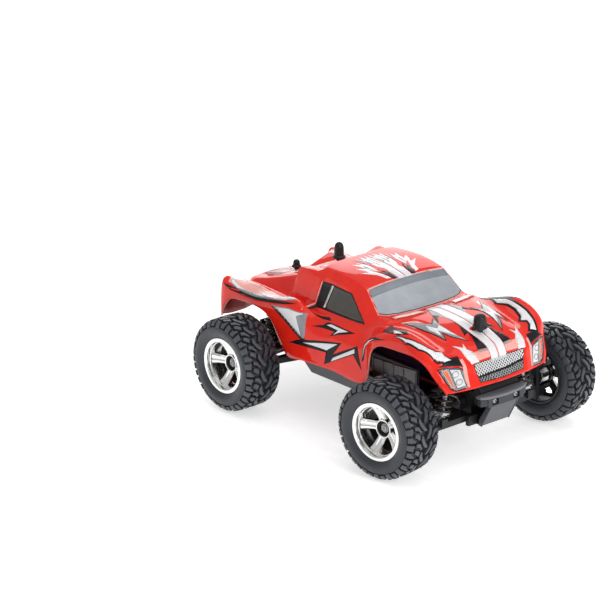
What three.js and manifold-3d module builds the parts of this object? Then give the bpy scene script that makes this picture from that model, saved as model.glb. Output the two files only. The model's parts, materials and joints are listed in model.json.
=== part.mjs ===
// A small four-wheel-drive remote control truck, built as separate pieces.
// Millimetres. +X forward, +Y to the car's left, +Z up, ground at z = 0.
import * as THREE from 'three';
import { mergeVertices } from 'three/addons/utils/BufferGeometryUtils.js';
import Module from 'manifold-3d';

const wasm = await Module();
wasm.setup();

// ---------- driving dimensions ----------
const MID_X = 6.15;                   // middle of the wheelbase, ahead of the whole car's middle
const WHEELBASE = 118;
const FRONT_X = MID_X + WHEELBASE / 2;
const REAR_X = MID_X - WHEELBASE / 2;
const TYRE_RADIUS = 25.2;
const TYRE_WIDTH = 23;
const AXLE_Z = TYRE_RADIUS;
const RIM_RADIUS = 15.2;
const RIM_INNER_RADIUS = 13.7;
const RIM_HALF_WIDTH = 9.9;
const FRONT_RIM_Y = 67.5;             // outer plane of a front rim
const REAR_RIM_Y = 66.3;
const WHEEL_FACETS = 24;
const BEAD_FLARE_RADIUS = 16.8;
const TYRE_BULGE_RADIUS = 20.5;
const SHOULDER_RADIUS = 23.4;
const SPOKES = 5;
const SPOKE_HALF_WIDTH = 2.4;
const HUB_RADIUS = 4.8;
const HUB_CUP_RADIUS = 3.9;
const AXLE_BORE = 1.8;
const STUB_RADIUS = 1.5;
const DRIVE_CUP = { radius: 4.6, bore: 3.8 };
const HEX = { radius: 4.2, back: 11.5, front: 10.1 };       // depths behind the rim's outer plane
const LOCK_NUT = { radius: 2.4, back: 8.7, front: 7.4 };
const BOSS_RADIUS = 5.3;              // barrels of the knuckles and uprights
const KINGPIN_INSET = 17;             // kingpin, inboard of the rim's outer plane
const KINGPIN_Y = FRONT_RIM_Y - KINGPIN_INSET;
const STEER_AT_REST = THREE.MathUtils.degToRad(6.8);
const STEER_ARM = 9;                  // kingpin to tie rod
const GAP = 0.3;                      // between neighbouring pieces

const ARM_INNER_Y = 13;               // lower arm's pins
const ARM_OUTER_Y = 41;
const ARM_Z = 21.5;
const ARM_PIN_WALL = 1.4;             // plastic beyond the outer pin, so the hub can tilt past it
const PIN_RADIUS = 0.85;
const PIN_BORE = 1.15;

const FLOOR_Z = 18.2;                 // underside of the chassis
const FLOOR_TOP = 19.8;
const SHELL_WALL = 1.2;

const SHOCK_X = 10;                   // shocks sit ahead of the front axle and behind the rear one
const FRONT_SHOCK = { top: [23, 52], foot: [30.6, 24.2] };
const REAR_SHOCK = { top: [17.5, 47], foot: [29.5, 24.2] };

const INNER_BALL_Y = 9.8;             // a drive shaft's inner ball, clear of its cup at full travel
const BALL_RADIUS = 1.4;
const SHAFT_RADIUS = 1.25;
const SPUR_TEETH = 25;
const PINION_TEETH = 13;
const GEAR_MODULE = 0.5;
const MOTOR_RADIUS = 7.75;
const GEAR_X = [-41.8, -38.8];
const GEAR_CENTRES = GEAR_MODULE * (SPUR_TEETH + PINION_TEETH) / 2;
const MOTOR_Y = -GEAR_CENTRES * Math.SQRT1_2;
const MOTOR_Z = AXLE_Z + GEAR_CENTRES * Math.SQRT1_2;

// ---------- materials ----------
const material = (color, roughness, metalness = 0) =>
  new THREE.MeshStandardMaterial({ color, roughness, metalness });
const RED_SHELL = material(0xd8251c, 0.25);
const TYRE_RUBBER = material(0x24262a, 0.85);
const CHROME = material(0xc9ccd0, 0.2, 1);
const STEEL = material(0x9a9ca0, 0.35, 1);
const BLACK_PLASTIC = material(0x1b1c1f, 0.55);
const GREY_PLASTIC = material(0x3a3c40, 0.6);
const COPPER_STEEL = material(0x6a4a3a, 0.4, 1);
const WHITE_PLASTIC = material(0xd9d5c8, 0.5);
const GREEN_BOARD = material(0x1f5a34, 0.5);
const BATTERY_WRAP = material(0x2a5fb0, 0.4);

// ---------- solids: joining, cutting and placing ----------
function facingOut(geometry) {
  geometry.deleteAttribute('normal');
  geometry.deleteAttribute('uv');
  const merged = mergeVertices(geometry, 1e-4);
  const source = merged.index.array;
  const place = merged.attributes.position;
  const corners = [new THREE.Vector3(), new THREE.Vector3(), new THREE.Vector3()];
  const kept = [];
  let volume = 0;
  for (let i = 0; i < source.length; i += 3) {
    const [a, b, c] = [source[i], source[i + 1], source[i + 2]];
    if (a === b || b === c || a === c) continue;
    [a, b, c].forEach((index, k) => corners[k].fromBufferAttribute(place, index));
    volume += corners[0].dot(corners[1].clone().cross(corners[2]));
    kept.push([a, b, c]);
  }
  merged.setIndex(kept.flatMap(([a, b, c]) => (volume < 0 ? [a, c, b] : [a, b, c])));
  return merged;
}

function toSolid(geometry) {
  const closed = facingOut(geometry);
  return new wasm.Manifold(new wasm.Mesh({
    numProp: 3,
    vertProperties: new Float32Array(closed.attributes.position.array),
    triVerts: new Uint32Array(closed.index.array),
  }));
}

function toGeometry(solid) {
  const mesh = solid.getMesh();
  const geometry = new THREE.BufferGeometry();
  geometry.setAttribute('position', new THREE.BufferAttribute(mesh.vertProperties, 3));
  geometry.setIndex(new THREE.BufferAttribute(mesh.triVerts, 1));
  return geometry;
}

const join = (...pieces) => toGeometry(pieces.map(toSolid).reduce((all, next) => all.add(next)));
const cut = (piece, ...tools) => toGeometry(
  tools.map(toSolid).reduce((left, tool) => left.subtract(tool), toSolid(piece)));

function box([x0, x1], [y0, y1], [z0, z1]) {
  const geometry = new THREE.BoxGeometry(x1 - x0, y1 - y0, z1 - z0);
  return geometry.translate((x0 + x1) / 2, (y0 + y1) / 2, (z0 + z1) / 2);
}

function along(geometry, from, to) {
  const start = new THREE.Vector3(...from);
  const direction = new THREE.Vector3(...to).sub(start).normalize();
  const turn = new THREE.Quaternion().setFromUnitVectors(new THREE.Vector3(0, 1, 0), direction);
  return geometry.applyQuaternion(turn).translate(start.x, start.y, start.z);
}

function rod(from, to, radius, sides = 12) {
  const length = new THREE.Vector3(...from).distanceTo(new THREE.Vector3(...to));
  const geometry = new THREE.CylinderGeometry(radius, radius, length, sides);
  return along(geometry.translate(0, length / 2, 0), from, to);
}

// Turns a closed profile of [radius, height] points about the line that starts at `from`.
function turned(profile, from, to, segments = 14) {
  const ring = [...profile, profile[0]].map(([r, h]) => new THREE.Vector2(r, h));
  return along(new THREE.LatheGeometry(ring, segments), from, to);
}

// Extrudes an outline: plane 'xy' goes up from `low` to `high`, 'xz' along +Y, 'yz' along +X.
function plate(outline, plane, low, high) {
  const shape = new THREE.Shape(outline.map(([u, v]) => new THREE.Vector2(u, v)));
  const geometry = new THREE.ExtrudeGeometry(shape, { depth: high - low, bevelEnabled: false });
  geometry.translate(0, 0, low);
  if (plane === 'xz') return geometry.applyMatrix4(new THREE.Matrix4().set(
    1, 0, 0, 0, 0, 0, 1, 0, 0, 1, 0, 0, 0, 0, 0, 1));
  if (plane === 'yz') return geometry.applyMatrix4(new THREE.Matrix4().set(
    0, 0, 1, 0, 1, 0, 0, 0, 0, 1, 0, 0, 0, 0, 0, 1));
  return geometry;
}

const model = new THREE.Group();

function add(name, geometry, look, parent = model) {
  const mesh = new THREE.Mesh(facingOut(geometry), look);
  mesh.name = name;
  parent.add(mesh);
  return mesh;
}

// Left-hand pieces are drawn; right-hand ones are their mirror images.
const onSide = (geometry, side) => (side === 'left' ? geometry : geometry.clone().scale(1, -1, 1));
const sign = (side) => (side === 'left' ? 1 : -1);

// ---------- wheels ----------
function tyreGeometry() {
  const half = TYRE_WIDTH / 2;
  const bead = RIM_RADIUS + GAP * 1.6;
  const tread = TYRE_RADIUS / Math.cos(Math.PI / WHEEL_FACETS);
  return turned([
    [bead, -RIM_HALF_WIDTH], [bead, RIM_HALF_WIDTH],
    [BEAD_FLARE_RADIUS, half - 0.5], [TYRE_BULGE_RADIUS, half], [SHOULDER_RADIUS, half - 0.6],
    [tread, half - 4], [tread, 4 - half],
    [SHOULDER_RADIUS, 0.6 - half], [TYRE_BULGE_RADIUS, -half], [BEAD_FLARE_RADIUS, 0.5 - half],
  ], [0, 0, 0], [0, 1, 0], WHEEL_FACETS).rotateY(Math.PI / WHEEL_FACETS);
}

function rimGeometry() {
  const hubBack = RIM_HALF_WIDTH - 9.8;
  const hubFloor = RIM_HALF_WIDTH - 8.9;
  const hubFace = RIM_HALF_WIDTH - 6.4;
  const barrel = turned([
    [RIM_INNER_RADIUS, -RIM_HALF_WIDTH], [RIM_RADIUS, -RIM_HALF_WIDTH], [RIM_RADIUS, RIM_HALF_WIDTH],
    [RIM_INNER_RADIUS, RIM_HALF_WIDTH],
  ], [0, 0, 0], [0, 1, 0], WHEEL_FACETS).rotateY(Math.PI / WHEEL_FACETS);
  const parts = [barrel, rod([0, hubBack, 0], [0, hubFace, 0], HUB_RADIUS, 14)];
  for (let i = 0; i < SPOKES; i += 1) {
    const spoke = plate([
      [4.2, hubBack], [4.2, hubFace - 0.5], [RIM_INNER_RADIUS + 0.6, RIM_HALF_WIDTH - 3],
      [RIM_INNER_RADIUS + 0.6, RIM_HALF_WIDTH - 6],
    ], 'xy', -SPOKE_HALF_WIDTH, SPOKE_HALF_WIDTH);
    parts.push(spoke.rotateY((i * 2 * Math.PI) / SPOKES));
  }
  const past = RIM_HALF_WIDTH + 2;
  return cut(join(...parts), rod([0, -2, 0], [0, past, 0], AXLE_BORE, 10),
    rod([0, hubFloor, 0], [0, past, 0], HUB_CUP_RADIUS, 14));
}

// Shaft, drive cup, hex and lock nut; heights are measured outboard from the wheel's middle plane.
function stubAxleGeometry(cupMouth, cupFloor) {
  const face = RIM_HALF_WIDTH;
  const threadEnd = face - LOCK_NUT.front + 0.6;
  const shaft = turned([
    [0, cupFloor - 1.4], [DRIVE_CUP.radius, cupFloor - 1.4], [DRIVE_CUP.radius, cupFloor],
    [STUB_RADIUS, cupFloor],
    [STUB_RADIUS, face - HEX.back], [HEX.radius, face - HEX.back],
    [HEX.radius, face - HEX.front], [STUB_RADIUS, face - HEX.front],
    [STUB_RADIUS, face - LOCK_NUT.back], [LOCK_NUT.radius, face - LOCK_NUT.back],
    [LOCK_NUT.radius, face - LOCK_NUT.front], [STUB_RADIUS, face - LOCK_NUT.front],
    [STUB_RADIUS, threadEnd], [0, threadEnd],
  ], [0, 0, 0], [0, 1, 0], 12);
  const cupWall = turned([
    [DRIVE_CUP.bore, cupMouth], [DRIVE_CUP.radius, cupMouth],
    [DRIVE_CUP.radius, cupFloor - 1], [DRIVE_CUP.bore, cupFloor - 1],
  ], [0, 0, 0], [0, 1, 0], 12);
  return join(shaft, cupWall);
}

function addWheel(end, side, place) {
  const wheel = new THREE.Group();
  const axle = end === 'front' ? { mouth: -10.1, floor: -3.9 } : { mouth: -12.1, floor: -6.9 };
  add(`tyre_${end}_${side}`, tyreGeometry(), TYRE_RUBBER, wheel);
  add(`rim_${end}_${side}`, rimGeometry(), CHROME, wheel);
  add(`stub_axle_${end}_${side}`, stubAxleGeometry(axle.mouth, axle.floor), STEEL, wheel);
  if (side === 'right') wheel.rotation.z = Math.PI;
  wheel.position.set(...place);
  return wheel;
}

// ---------- front hubs and steering knuckles, drawn about the kingpin ----------
function knuckleGeometry() {
  const outboard = (inset) => KINGPIN_INSET - inset;
  const ears = [5, -7.6].map((low) => box([-3, 3], [-3, outboard(11)], [low, low + 2.6]));
  const body = join(
    rod([0, outboard(13.4), 0], [0, outboard(11.8), 0], BOSS_RADIUS, 14), ...ears,
    box([-STEER_ARM - 1.5, -2], [outboard(13.6), outboard(11.9)], [-2.2, 0.6]),
    box([-STEER_ARM - 1.5, -STEER_ARM + 1.5], [-1.6, outboard(11.9)], [-2.2, 0.6]),
    rod([-STEER_ARM, 0, 0.4], [-STEER_ARM, 0, 5], 0.9, 10),
  );
  return cut(body, rod([0, -1, 0], [0, 12, 0], AXLE_BORE, 12), rod([0, 0, -9], [0, 0, 9], 1.3, 10));
}

function hubCarrierGeometry() {
  const web = cut(box([-5.5, 5.5], [-7.7, -5.3], [-10.3, 10.3]), rod([0, -9, 0], [0, 0, 0], 4, 12));
  const lobes = [7.9, -10.3].map((low) => box([-3.2, 3.2], [-6, 2.8], [low, low + 2.4]));
  const pins = [rod([0, 0, 8], [0, 0, 5.3], 1, 10), rod([0, 0, -8], [0, 0, -5.3], 1, 10)];
  const bossY = ARM_OUTER_Y - KINGPIN_Y;
  const bossZ = ARM_Z - AXLE_Z;
  const boss = box([-2.8, 2.8], [bossY - 1.8, -6], [bossZ - 2, bossZ + 2]);
  const pinHole = rod([-4, bossY, bossZ], [4, bossY, bossZ], PIN_BORE, 12);
  return cut(join(web, ...lobes, ...pins, boss), pinHole);
}

// ---------- rear uprights, drawn about the wheel's centre line ----------
function uprightGeometry() {
  const barrelIn = REAR_RIM_Y - 16.5;
  const barrel = rod([0, barrelIn, 0], [0, REAR_RIM_Y - 11.8, 0], BOSS_RADIUS, 14);
  const floor = box([-4, 4], [ARM_OUTER_Y + 2.2, barrelIn + 4], [-7.8, -5]);
  const roof = box([-3, 3], [barrelIn - 6, barrelIn + 4], [4.9, 7.6]);
  const bossZ = ARM_Z - AXLE_Z;
  const boss = box([-2.8, 2.8], [ARM_OUTER_Y - 1.8, ARM_OUTER_Y + 2.6], [-7, bossZ + 2]);
  return cut(join(barrel, floor, roof, boss),
    rod([0, barrelIn - 1, 0], [0, REAR_RIM_Y, 0], AXLE_BORE, 12),
    rod([-4, ARM_OUTER_Y, bossZ], [4, ARM_OUTER_Y, bossZ], PIN_BORE, 12));
}

// ---------- lower arms: `forward` is +1 where the shock stands ahead of the axle ----------
function lowerArmGeometry(forward, shock) {
  const inner = ARM_INNER_Y - 1.7;
  const outer = ARM_OUTER_Y + ARM_PIN_WALL;
  const flip = (x) => x * forward;
  const blade = plate([
    [flip(-10), inner], [flip(12), inner], [flip(12), 33.5], [flip(5.6), 37], [flip(5.6), outer],
    [flip(-5.6), outer], [flip(-5.6), 36], [flip(-10), 18],
  ], 'xy', ARM_Z - 1.6, ARM_Z + 1.6);
  const window = plate([
    [flip(-4), 18], [flip(6), 18], [flip(4.5), 33], [flip(-3), 33],
  ], 'xy', ARM_Z - 3, ARM_Z + 3);
  const [footY, footZ] = shock.foot;
  const lug = (x) => box([x - 0.9, x + 0.9], [footY - 2, footY + 2], [ARM_Z, footZ + 1.4]);
  const footPin = rod([flip(SHOCK_X) - 2.6, footY, footZ], [flip(SHOCK_X) + 2.6, footY, footZ], 0.8, 10);
  const lugs = [lug(flip(SHOCK_X) - 2.6), lug(flip(SHOCK_X) + 2.6)];
  const outerPin = rod([-4.6, ARM_OUTER_Y, ARM_Z], [4.6, ARM_OUTER_Y, ARM_Z], PIN_RADIUS, 10);
  const fork = box([-3.1, 3.1], [ARM_OUTER_Y - 2.2, outer + 1], [ARM_Z - 3, ARM_Z + 3]);
  const innerBore = rod([-20, ARM_INNER_Y, ARM_Z], [20, ARM_INNER_Y, ARM_Z], PIN_BORE, 12);
  const eyeRoom = rod([flip(SHOCK_X) - 1.65, footY, footZ], [flip(SHOCK_X) + 1.65, footY, footZ], 3.1, 16);
  return join(cut(join(blade, ...lugs), window, fork, innerBore, eyeRoom), outerPin, footPin);
}

// ---------- shocks, drawn in the plane x = 0 of their own group ----------
const between = (a, b, distance) => {
  const length = Math.hypot(b[0] - a[0], b[1] - a[1]);
  return [0, a[0] + ((b[0] - a[0]) * distance) / length, a[1] + ((b[1] - a[1]) * distance) / length];
};

function shockBodyGeometry({ top, foot }) {
  const at = (distance) => between(top, foot, distance);
  const eye = rod([-1.8, ...top], [1.8, ...top], 2.3, 14);
  const barrel = turned([
    [0, 1.6], [3.9, 1.6], [3.9, 3.4], [2.9, 3.4], [2.9, 15.5], [1.5, 15.5], [1.5, 5], [0, 5],
  ], at(0), at(1));
  return cut(join(eye, barrel), rod([-3, ...top], [3, ...top], 1.2, 12));
}

function shockRodGeometry({ top, foot }) {
  const at = (distance) => between(foot, top, distance);
  const length = Math.hypot(foot[0] - top[0], foot[1] - top[1]);
  const eye = rod([-1.4, ...foot], [1.4, ...foot], 2.5, 14);
  const stem = turned([
    [0, 1.8], [1.4, 1.8], [1.4, 3.4], [4.1, 3.4], [4.1, 4.8], [1.1, 4.8], [1.1, length - 9.5],
    [0, length - 9.5],
  ], at(0), at(1));
  return cut(join(eye, stem), rod([-3, ...foot], [3, ...foot], 1.5, 12));
}

function springGeometry({ top, foot }) {
  const at = (distance) => between(top, foot, distance);
  const length = Math.hypot(foot[0] - top[0], foot[1] - top[1]);
  return turned([
    [3.3, 3.7], [4.2, 3.7], [4.2, length - 5.1], [3.3, length - 5.1],
  ], at(0), at(1));
}

// ---------- drive shafts and differentials ----------
function driveShaftGeometry(outerBall) {
  const ball = (y) => new THREE.SphereGeometry(BALL_RADIUS, 8, 6).translate(0, y, AXLE_Z);
  const shaft = rod([0, INNER_BALL_Y, AXLE_Z], [0, outerBall, AXLE_Z], 1.1, 8);
  return join(shaft, ball(INNER_BALL_Y), ball(outerBall));
}

function differentialGeometry(crownSide) {
  const core = turned([
    [0, -7.6], [4.2, -7.6], [4.2, -6.8], [2, -6.8], [2, -4.9], [2.8, -4.9], [2.8, 4.9], [2, 4.9],
    [2, 6.8], [4.2, 6.8], [4.2, 7.6], [0, 7.6],
  ], [0, 0, 0], [0, 1, 0]);
  const crown = turned([
    [2, 2.6 * crownSide], [5.6, 2.6 * crownSide], [5.6, 4.2 * crownSide], [2, 4.2 * crownSide],
  ], [0, 0, 0], [0, 1, 0], 20);
  const cups = [1, -1].map((side) => turned([
    [3.3, 7.4 * side], [4.2, 7.4 * side], [4.2, 10.9 * side], [3.3, 10.9 * side],
  ], [0, 0, 0], [0, 1, 0]));
  return join(core, crown, ...cups);
}

function gearOutline(teeth, phase = 0) {
  const pitch = (GEAR_MODULE * teeth) / 2;
  const points = [];
  for (let tooth = 0; tooth < teeth; tooth += 1) {
    for (const [share, offset] of [[-0.3, -0.62], [-0.13, 0.36], [0.13, 0.36], [0.3, -0.62]]) {
      const angle = ((tooth + share) / teeth) * Math.PI * 2 + phase;
      points.push([(pitch + offset) * Math.cos(angle), (pitch + offset) * Math.sin(angle)]);
    }
  }
  return points;
}

// ---------- bulkheads: `forward` is +1 at the front ----------
function bulkheadGeometry(axleX, forward, shock, posts) {
  const x = (value) => axleX + value * forward;
  const span = (a, b) => [Math.min(x(a), x(b)), Math.max(x(a), x(b))];
  const base = box(span(-12.6, 16), [-9.6, 9.6], [FLOOR_Z, FLOOR_Z + 1.1]);
  const gearCase = box(span(-7.6, 7.6), [-6.5, 6.5], [FLOOR_Z, 32.6]);
  const [topY, topZ] = shock.top;
  const rightSide = [
    [6.4, 19], [6.4, 31], [9, 34], [topY + 2.6, topZ - 3], [topY + 2.6, topZ + 2.4],
    [topY - 3, topZ + 2.4], [3, 39],
  ];
  const leftSide = rightSide.map(([y, z]) => [-y, z]).reverse();
  const tower = plate([...rightSide, ...leftSide], 'yz', ...span(3.2, 5.4));
  const shockPins = [1, -1].map((side) => rod(
    [x(4), topY * side, topZ], [x(SHOCK_X + 2.4), topY * side, topZ], 0.9, 10));
  const pinBlock = (side, from, to) => box(
    span(from, to), side > 0 ? [8, 15] : [-15, -8], [FLOOR_Z, ARM_Z + 1.8]);
  const hinges = [1, -1].flatMap((side) => [
    pinBlock(side, -12.6, -10.3),
    pinBlock(side, 12.3, 14.6),
    rod([x(-12), ARM_INNER_Y * side, ARM_Z], [x(14), ARM_INNER_Y * side, ARM_Z], PIN_RADIUS, 10),
  ]);
  const hollow = box(span(-6.4, 6.4), [-5.2, 5.2], [19.2, 31.6]);
  const axleHoles = rod([axleX, -9, AXLE_Z], [axleX, 9, AXLE_Z], 2.35, 14);
  const shaftHole = rod([x(-9), 0, AXLE_Z], [x(-5), 0, AXLE_Z], 1.65, 12);
  const spurRoom = rod([x(-8.2), 0, AXLE_Z], [x(-14), 0, AXLE_Z], 7.1, 24);
  const hollowed = cut(join(base, gearCase, tower), hollow, axleHoles, shaftHole, spurRoom);
  return join(hollowed, ...shockPins, ...hinges, ...posts);
}

const FRONT_POST = { x: MID_X + 64.8, seat: 63.2, top: 68.5, rise: 1.6 };
const MID_POST = { x: MID_X - 41, seat: 74.6, top: 80, rise: 0.8 };
const REAR_POST = { x: MID_X - 75.4, seat: 60.3, top: 63, rise: 1.1 };

function bodyPost({ x, seat, top }, low, radius) {
  const stop = seat - SHELL_WALL - 2.4;
  return [rod([x, 0, low], [x, 0, top], radius), rod([x, 0, stop - 1], [x, 0, stop], radius + 2)];
}

// ---------- chassis ----------
const TUB_X = [REAR_X + 12.9, FRONT_X - 12.9];
const WING_TOP = 33.5;
const NOSE_WALL_START = 18;
const NOSE_WALL_TOP = 42.4;
const DOOR = { x: [-24, 28], y: [3, 21.6] };
const SWITCH = { x: 13, y: -11 };

function chassisGeometry() {
  const wide = [REAR_X + 24, FRONT_X - 34];
  const floor = plate([
    [TUB_X[0], -14], [wide[0], -24.5], [wide[1], -24.5], [TUB_X[1], -24.3],
    [TUB_X[1], 24.3], [wide[1], 24.5], [wide[0], 24.5], [TUB_X[0], 14],
  ], 'xy', FLOOR_Z, FLOOR_TOP);
  const wing = (s) => plate([
    [23.2 * s, FLOOR_Z], [24.5 * s, FLOOR_Z], [32 * s, 29], [32 * s, WING_TOP],
    [30.6 * s, WING_TOP], [30.6 * s, 29.4], [23.2 * s, FLOOR_TOP],
  ], 'yz', ...wide);
  const noseWall = (s) => box(
    [NOSE_WALL_START, TUB_X[1] - 0.4], s > 0 ? [22.9, 24.2] : [-24.2, -22.9], [FLOOR_Z, NOSE_WALL_TOP]);
  const wingEnd = (s) => plate([
    [21 * s, FLOOR_Z + 0.4], [24.3 * s, FLOOR_Z + 0.4], [31.8 * s, 29], [31.8 * s, WING_TOP],
    [21 * s, WING_TOP],
  ], 'yz', wide[1] - 1.4, wide[1]);
  const rib = (x, y, top) => box(x, y, [FLOOR_TOP - 0.2, top]);
  const ribs = [
    rib([-34, -31], [-14.5, -2.4], 28), rib([-17, -14], [-14.5, -2.4], 28),    // under the motor
    rib([-30, 33], [0.6, 1.8], 22.5), rib([8, 30], [-3.4, -2.2], 21.6),        // beside the battery
  ];
  const solid = join(floor, ...ribs, ...[1, -1].flatMap((s) => [wing(s), noseWall(s), wingEnd(s)]));
  return cut(solid,
    rod([-40, MOTOR_Y, MOTOR_Z], [-10, MOTOR_Y, MOTOR_Z], MOTOR_RADIUS + GAP, 24),
    box(DOOR.x, DOOR.y, [FLOOR_Z - 1, FLOOR_TOP + 1]),
    box([SWITCH.x - 3.5, SWITCH.x + 3.5], [SWITCH.y - 1.4, SWITCH.y + 1.4], [FLOOR_Z - 1, FLOOR_TOP + 1]),
    rod([TUB_X[0] - 1, 0, AXLE_Z], [TUB_X[0] + 8, 0, AXLE_Z], 7.2, 24));
}

function bumperGeometry() {
  const start = FRONT_X + 16.3;
  const skid = plate([
    [start, FLOOR_Z], [MID_X + 77.3, FLOOR_Z - 0.2], [MID_X + 84.2, 31], [MID_X + 82.4, 31.6],
    [MID_X + 76.4, 20.2], [start, 20.2],
  ], 'xz', -9.3, 9.3);
  const bar = plate([
    [MID_X + 84.9, 0], [MID_X + 84.6, 7], [MID_X + 83.6, 12], [MID_X + 82.2, 15.2],
    [MID_X + 79.6, 15.2], [MID_X + 81, 11], [MID_X + 81.6, 0], [MID_X + 81, -11],
    [MID_X + 79.6, -15.2], [MID_X + 82.2, -15.2], [MID_X + 83.6, -12], [MID_X + 84.6, -7],
  ], 'xy', 31.2, 35.4);
  const lip = plate([
    [MID_X + 86.2, 0], [MID_X + 85.8, 8], [MID_X + 84.4, 14], [MID_X + 82.8, 16.4], [MID_X + 79, 16.4],
    [MID_X + 79, -16.4], [MID_X + 82.8, -16.4], [MID_X + 84.4, -14], [MID_X + 85.8, -8],
  ], 'xy', 35, 36.6);
  return join(skid, bar, lip);
}

// ---------- body shell: named lines from the nose to the tail, in mid-wheelbase coordinates ----------
// Each line runs along the car's left side and lists [forward, outboard, height above the axle line].
const SHELL_LINES = {
  centre: [
    [83.3, 0, 17.3], [80.6, 0, 23.2], [78.4, 0, 29.3], [74.9, 0, 34.3], [66.5, 0, 37.5], [56, 0, 40.6],
    [45, 0, 41.9], [36, 0, 42.4], [30.4, 0, 41.5], [28.3, 0, 41.6], [10, 0, 53], [0, 0, 55.3], [-12, 0, 56.4],
    [-25, 0, 55.9], [-29, 0, 51], [-40.5, 0, 49.4], [-50, 0, 45.5], [-57, 0, 42], [-66, 0, 38.4],
    [-76, 0, 34.9], [-86, 0, 32], [-97, 0, 29], [-98.5, 0, 12],
  ],
  ridge: [
    [81.6, 19, 16.8], [80.2, 18, 22.9], [78.7, 18.1, 28.8], [73.4, 17.5, 34.3], [65.5, 17.5, 37.3],
    [55.5, 18, 40.2], [44.8, 19, 41.5], [35.6, 20, 42.1], [29.6, 21, 41.5], [26.2, 20.5, 41.6], [10.4, 20, 52.5],
    [0, 20, 54.8], [-12, 20, 55.9], [-25, 20, 55.6], [-28.8, 16, 50.8], [-41, 16, 48], [-50, 16, 43.5],
    [-57, 15.5, 40], [-66, 15.5, 36.8], [-76, 15.5, 33.6], [-86, 15, 30.8], [-96, 14.5, 28.4], [-97.4, 14.5, 12],
  ],
  shoulder: [
    [79.9, 27, 16.6], [78.4, 26.5, 22.5], [77.3, 25.6, 28.2], [72, 24, 34.2], [64.5, 24.5, 36.4],
    [55, 25, 38.6], [44.8, 26, 39.9], [35.2, 27, 40.6], [28.5, 30, 41.2], [22.1, 29.4, 41.6], [10.5, 27.2, 51.4],
    [0, 27.3, 53.6], [-12, 26.8, 54.4], [-22.5, 26.4, 53.5], [-28.5, 26.4, 51.9], [-41, 27.6, 50.8], [-47, 24, 31],
    [-57, 20.5, 29], [-66, 20, 27.8], [-76, 19.5, 27], [-85, 19.5, 27], [-91.5, 21, 27.2], [-95, 21, 12.4],
  ],
  belt: [
    [79, 31, 16.6], [77.3, 31.5, 22.3], [75.6, 31.5, 28.6], [71.5, 31, 34.5], [64, 31, 37], [54.5, 31, 39.4],
    [44.5, 31.5, 40.1], [35.5, 32.5, 39.6], [28.5, 34.2, 38.6], [20.5, 34, 36], [9, 34, 35.8], [-3, 33.5, 35.2],
    [-14, 33, 34.4], [-25, 32, 33.7], [-31.5, 30.5, 34.4], [-44, 29.8, 34.3], [-48, 31, 34.4], [-56, 31.5, 34.9],
    [-66, 32, 35.7], [-76, 32, 35.5], [-82.5, 33, 35], [-88, 33.5, 33.6], [-93.2, 31, 13],
  ],
  crest: [
    [78.4, 33.5, 16.7], [76.5, 35.5, 22], [73.9, 35.8, 28.6], [70.5, 36.5, 36], [63, 37.5, 40.8], [53.5, 38, 43.3],
    [44, 37.3, 42], [35.5, 37, 39.6], [29, 37.5, 36.8], [22, 37.5, 33.6], [9, 37.2, 33], [-3, 36.8, 32.5],
    [-14, 36.5, 32.5], [-24, 36.5, 35], [-31, 35.5, 37.2], [-42, 35.5, 36], [-47.5, 36.5, 34.8],
    [-56, 37, 34.4], [-66, 37.5, 34.3], [-76, 38, 34.6], [-84.5, 38, 35.3], [-90.6, 36.6, 34.2], [-91.8, 36.5, 13.8],
  ],
  flank: [
    [78, 34.6, 16.8], [75.6, 37.4, 21.6], [71.8, 39.6, 27.4], [69.5, 40.8, 34], [62.8, 42.4, 38.3],
    [53, 43, 40.6], [43.5, 42.8, 39.4], [35.8, 42.3, 37], [29.5, 42, 33], [24.5, 42, 27.5], [9, 41.5, 27],
    [-3, 41, 26.5], [-14, 41.4, 26.3], [-24, 42, 31.5], [-31, 42, 35], [-42, 41.7, 33.8], [-47, 42, 33.3],
    [-56, 42, 32.2], [-66, 42.3, 31.6], [-76, 42.5, 32.4], [-84.5, 42.5, 33.4], [-89.6, 41, 31.6], [-90.4, 40.4, 14.8],
  ],
  hem: [
    [77.8, 34.8, 15.8], [75.2, 37.3, 20.2], [71.4, 39.8, 26], [68.6, 42, 30.7], [62.5, 43.9, 34],
    [52.5, 44.2, 34.2], [43, 44.2, 33.8], [37, 44.2, 32.4], [30.8, 44.2, 25.5], [27.3, 44.2, 10.4],
    [9, 44.2, 9.8], [-3, 44, 9.5], [-14, 44, 9], [-23.4, 43.6, 8.1], [-33, 42.8, 7], [-38.6, 42.6, 11.8],
    [-42.4, 42.5, 17], [-48, 42.4, 24], [-58, 42.5, 27.7], [-72, 42.5, 27.7], [-81, 42.8, 25.9],
    [-87, 42.6, 18.8], [-89.4, 41.6, 14.4],
  ],
};

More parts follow.
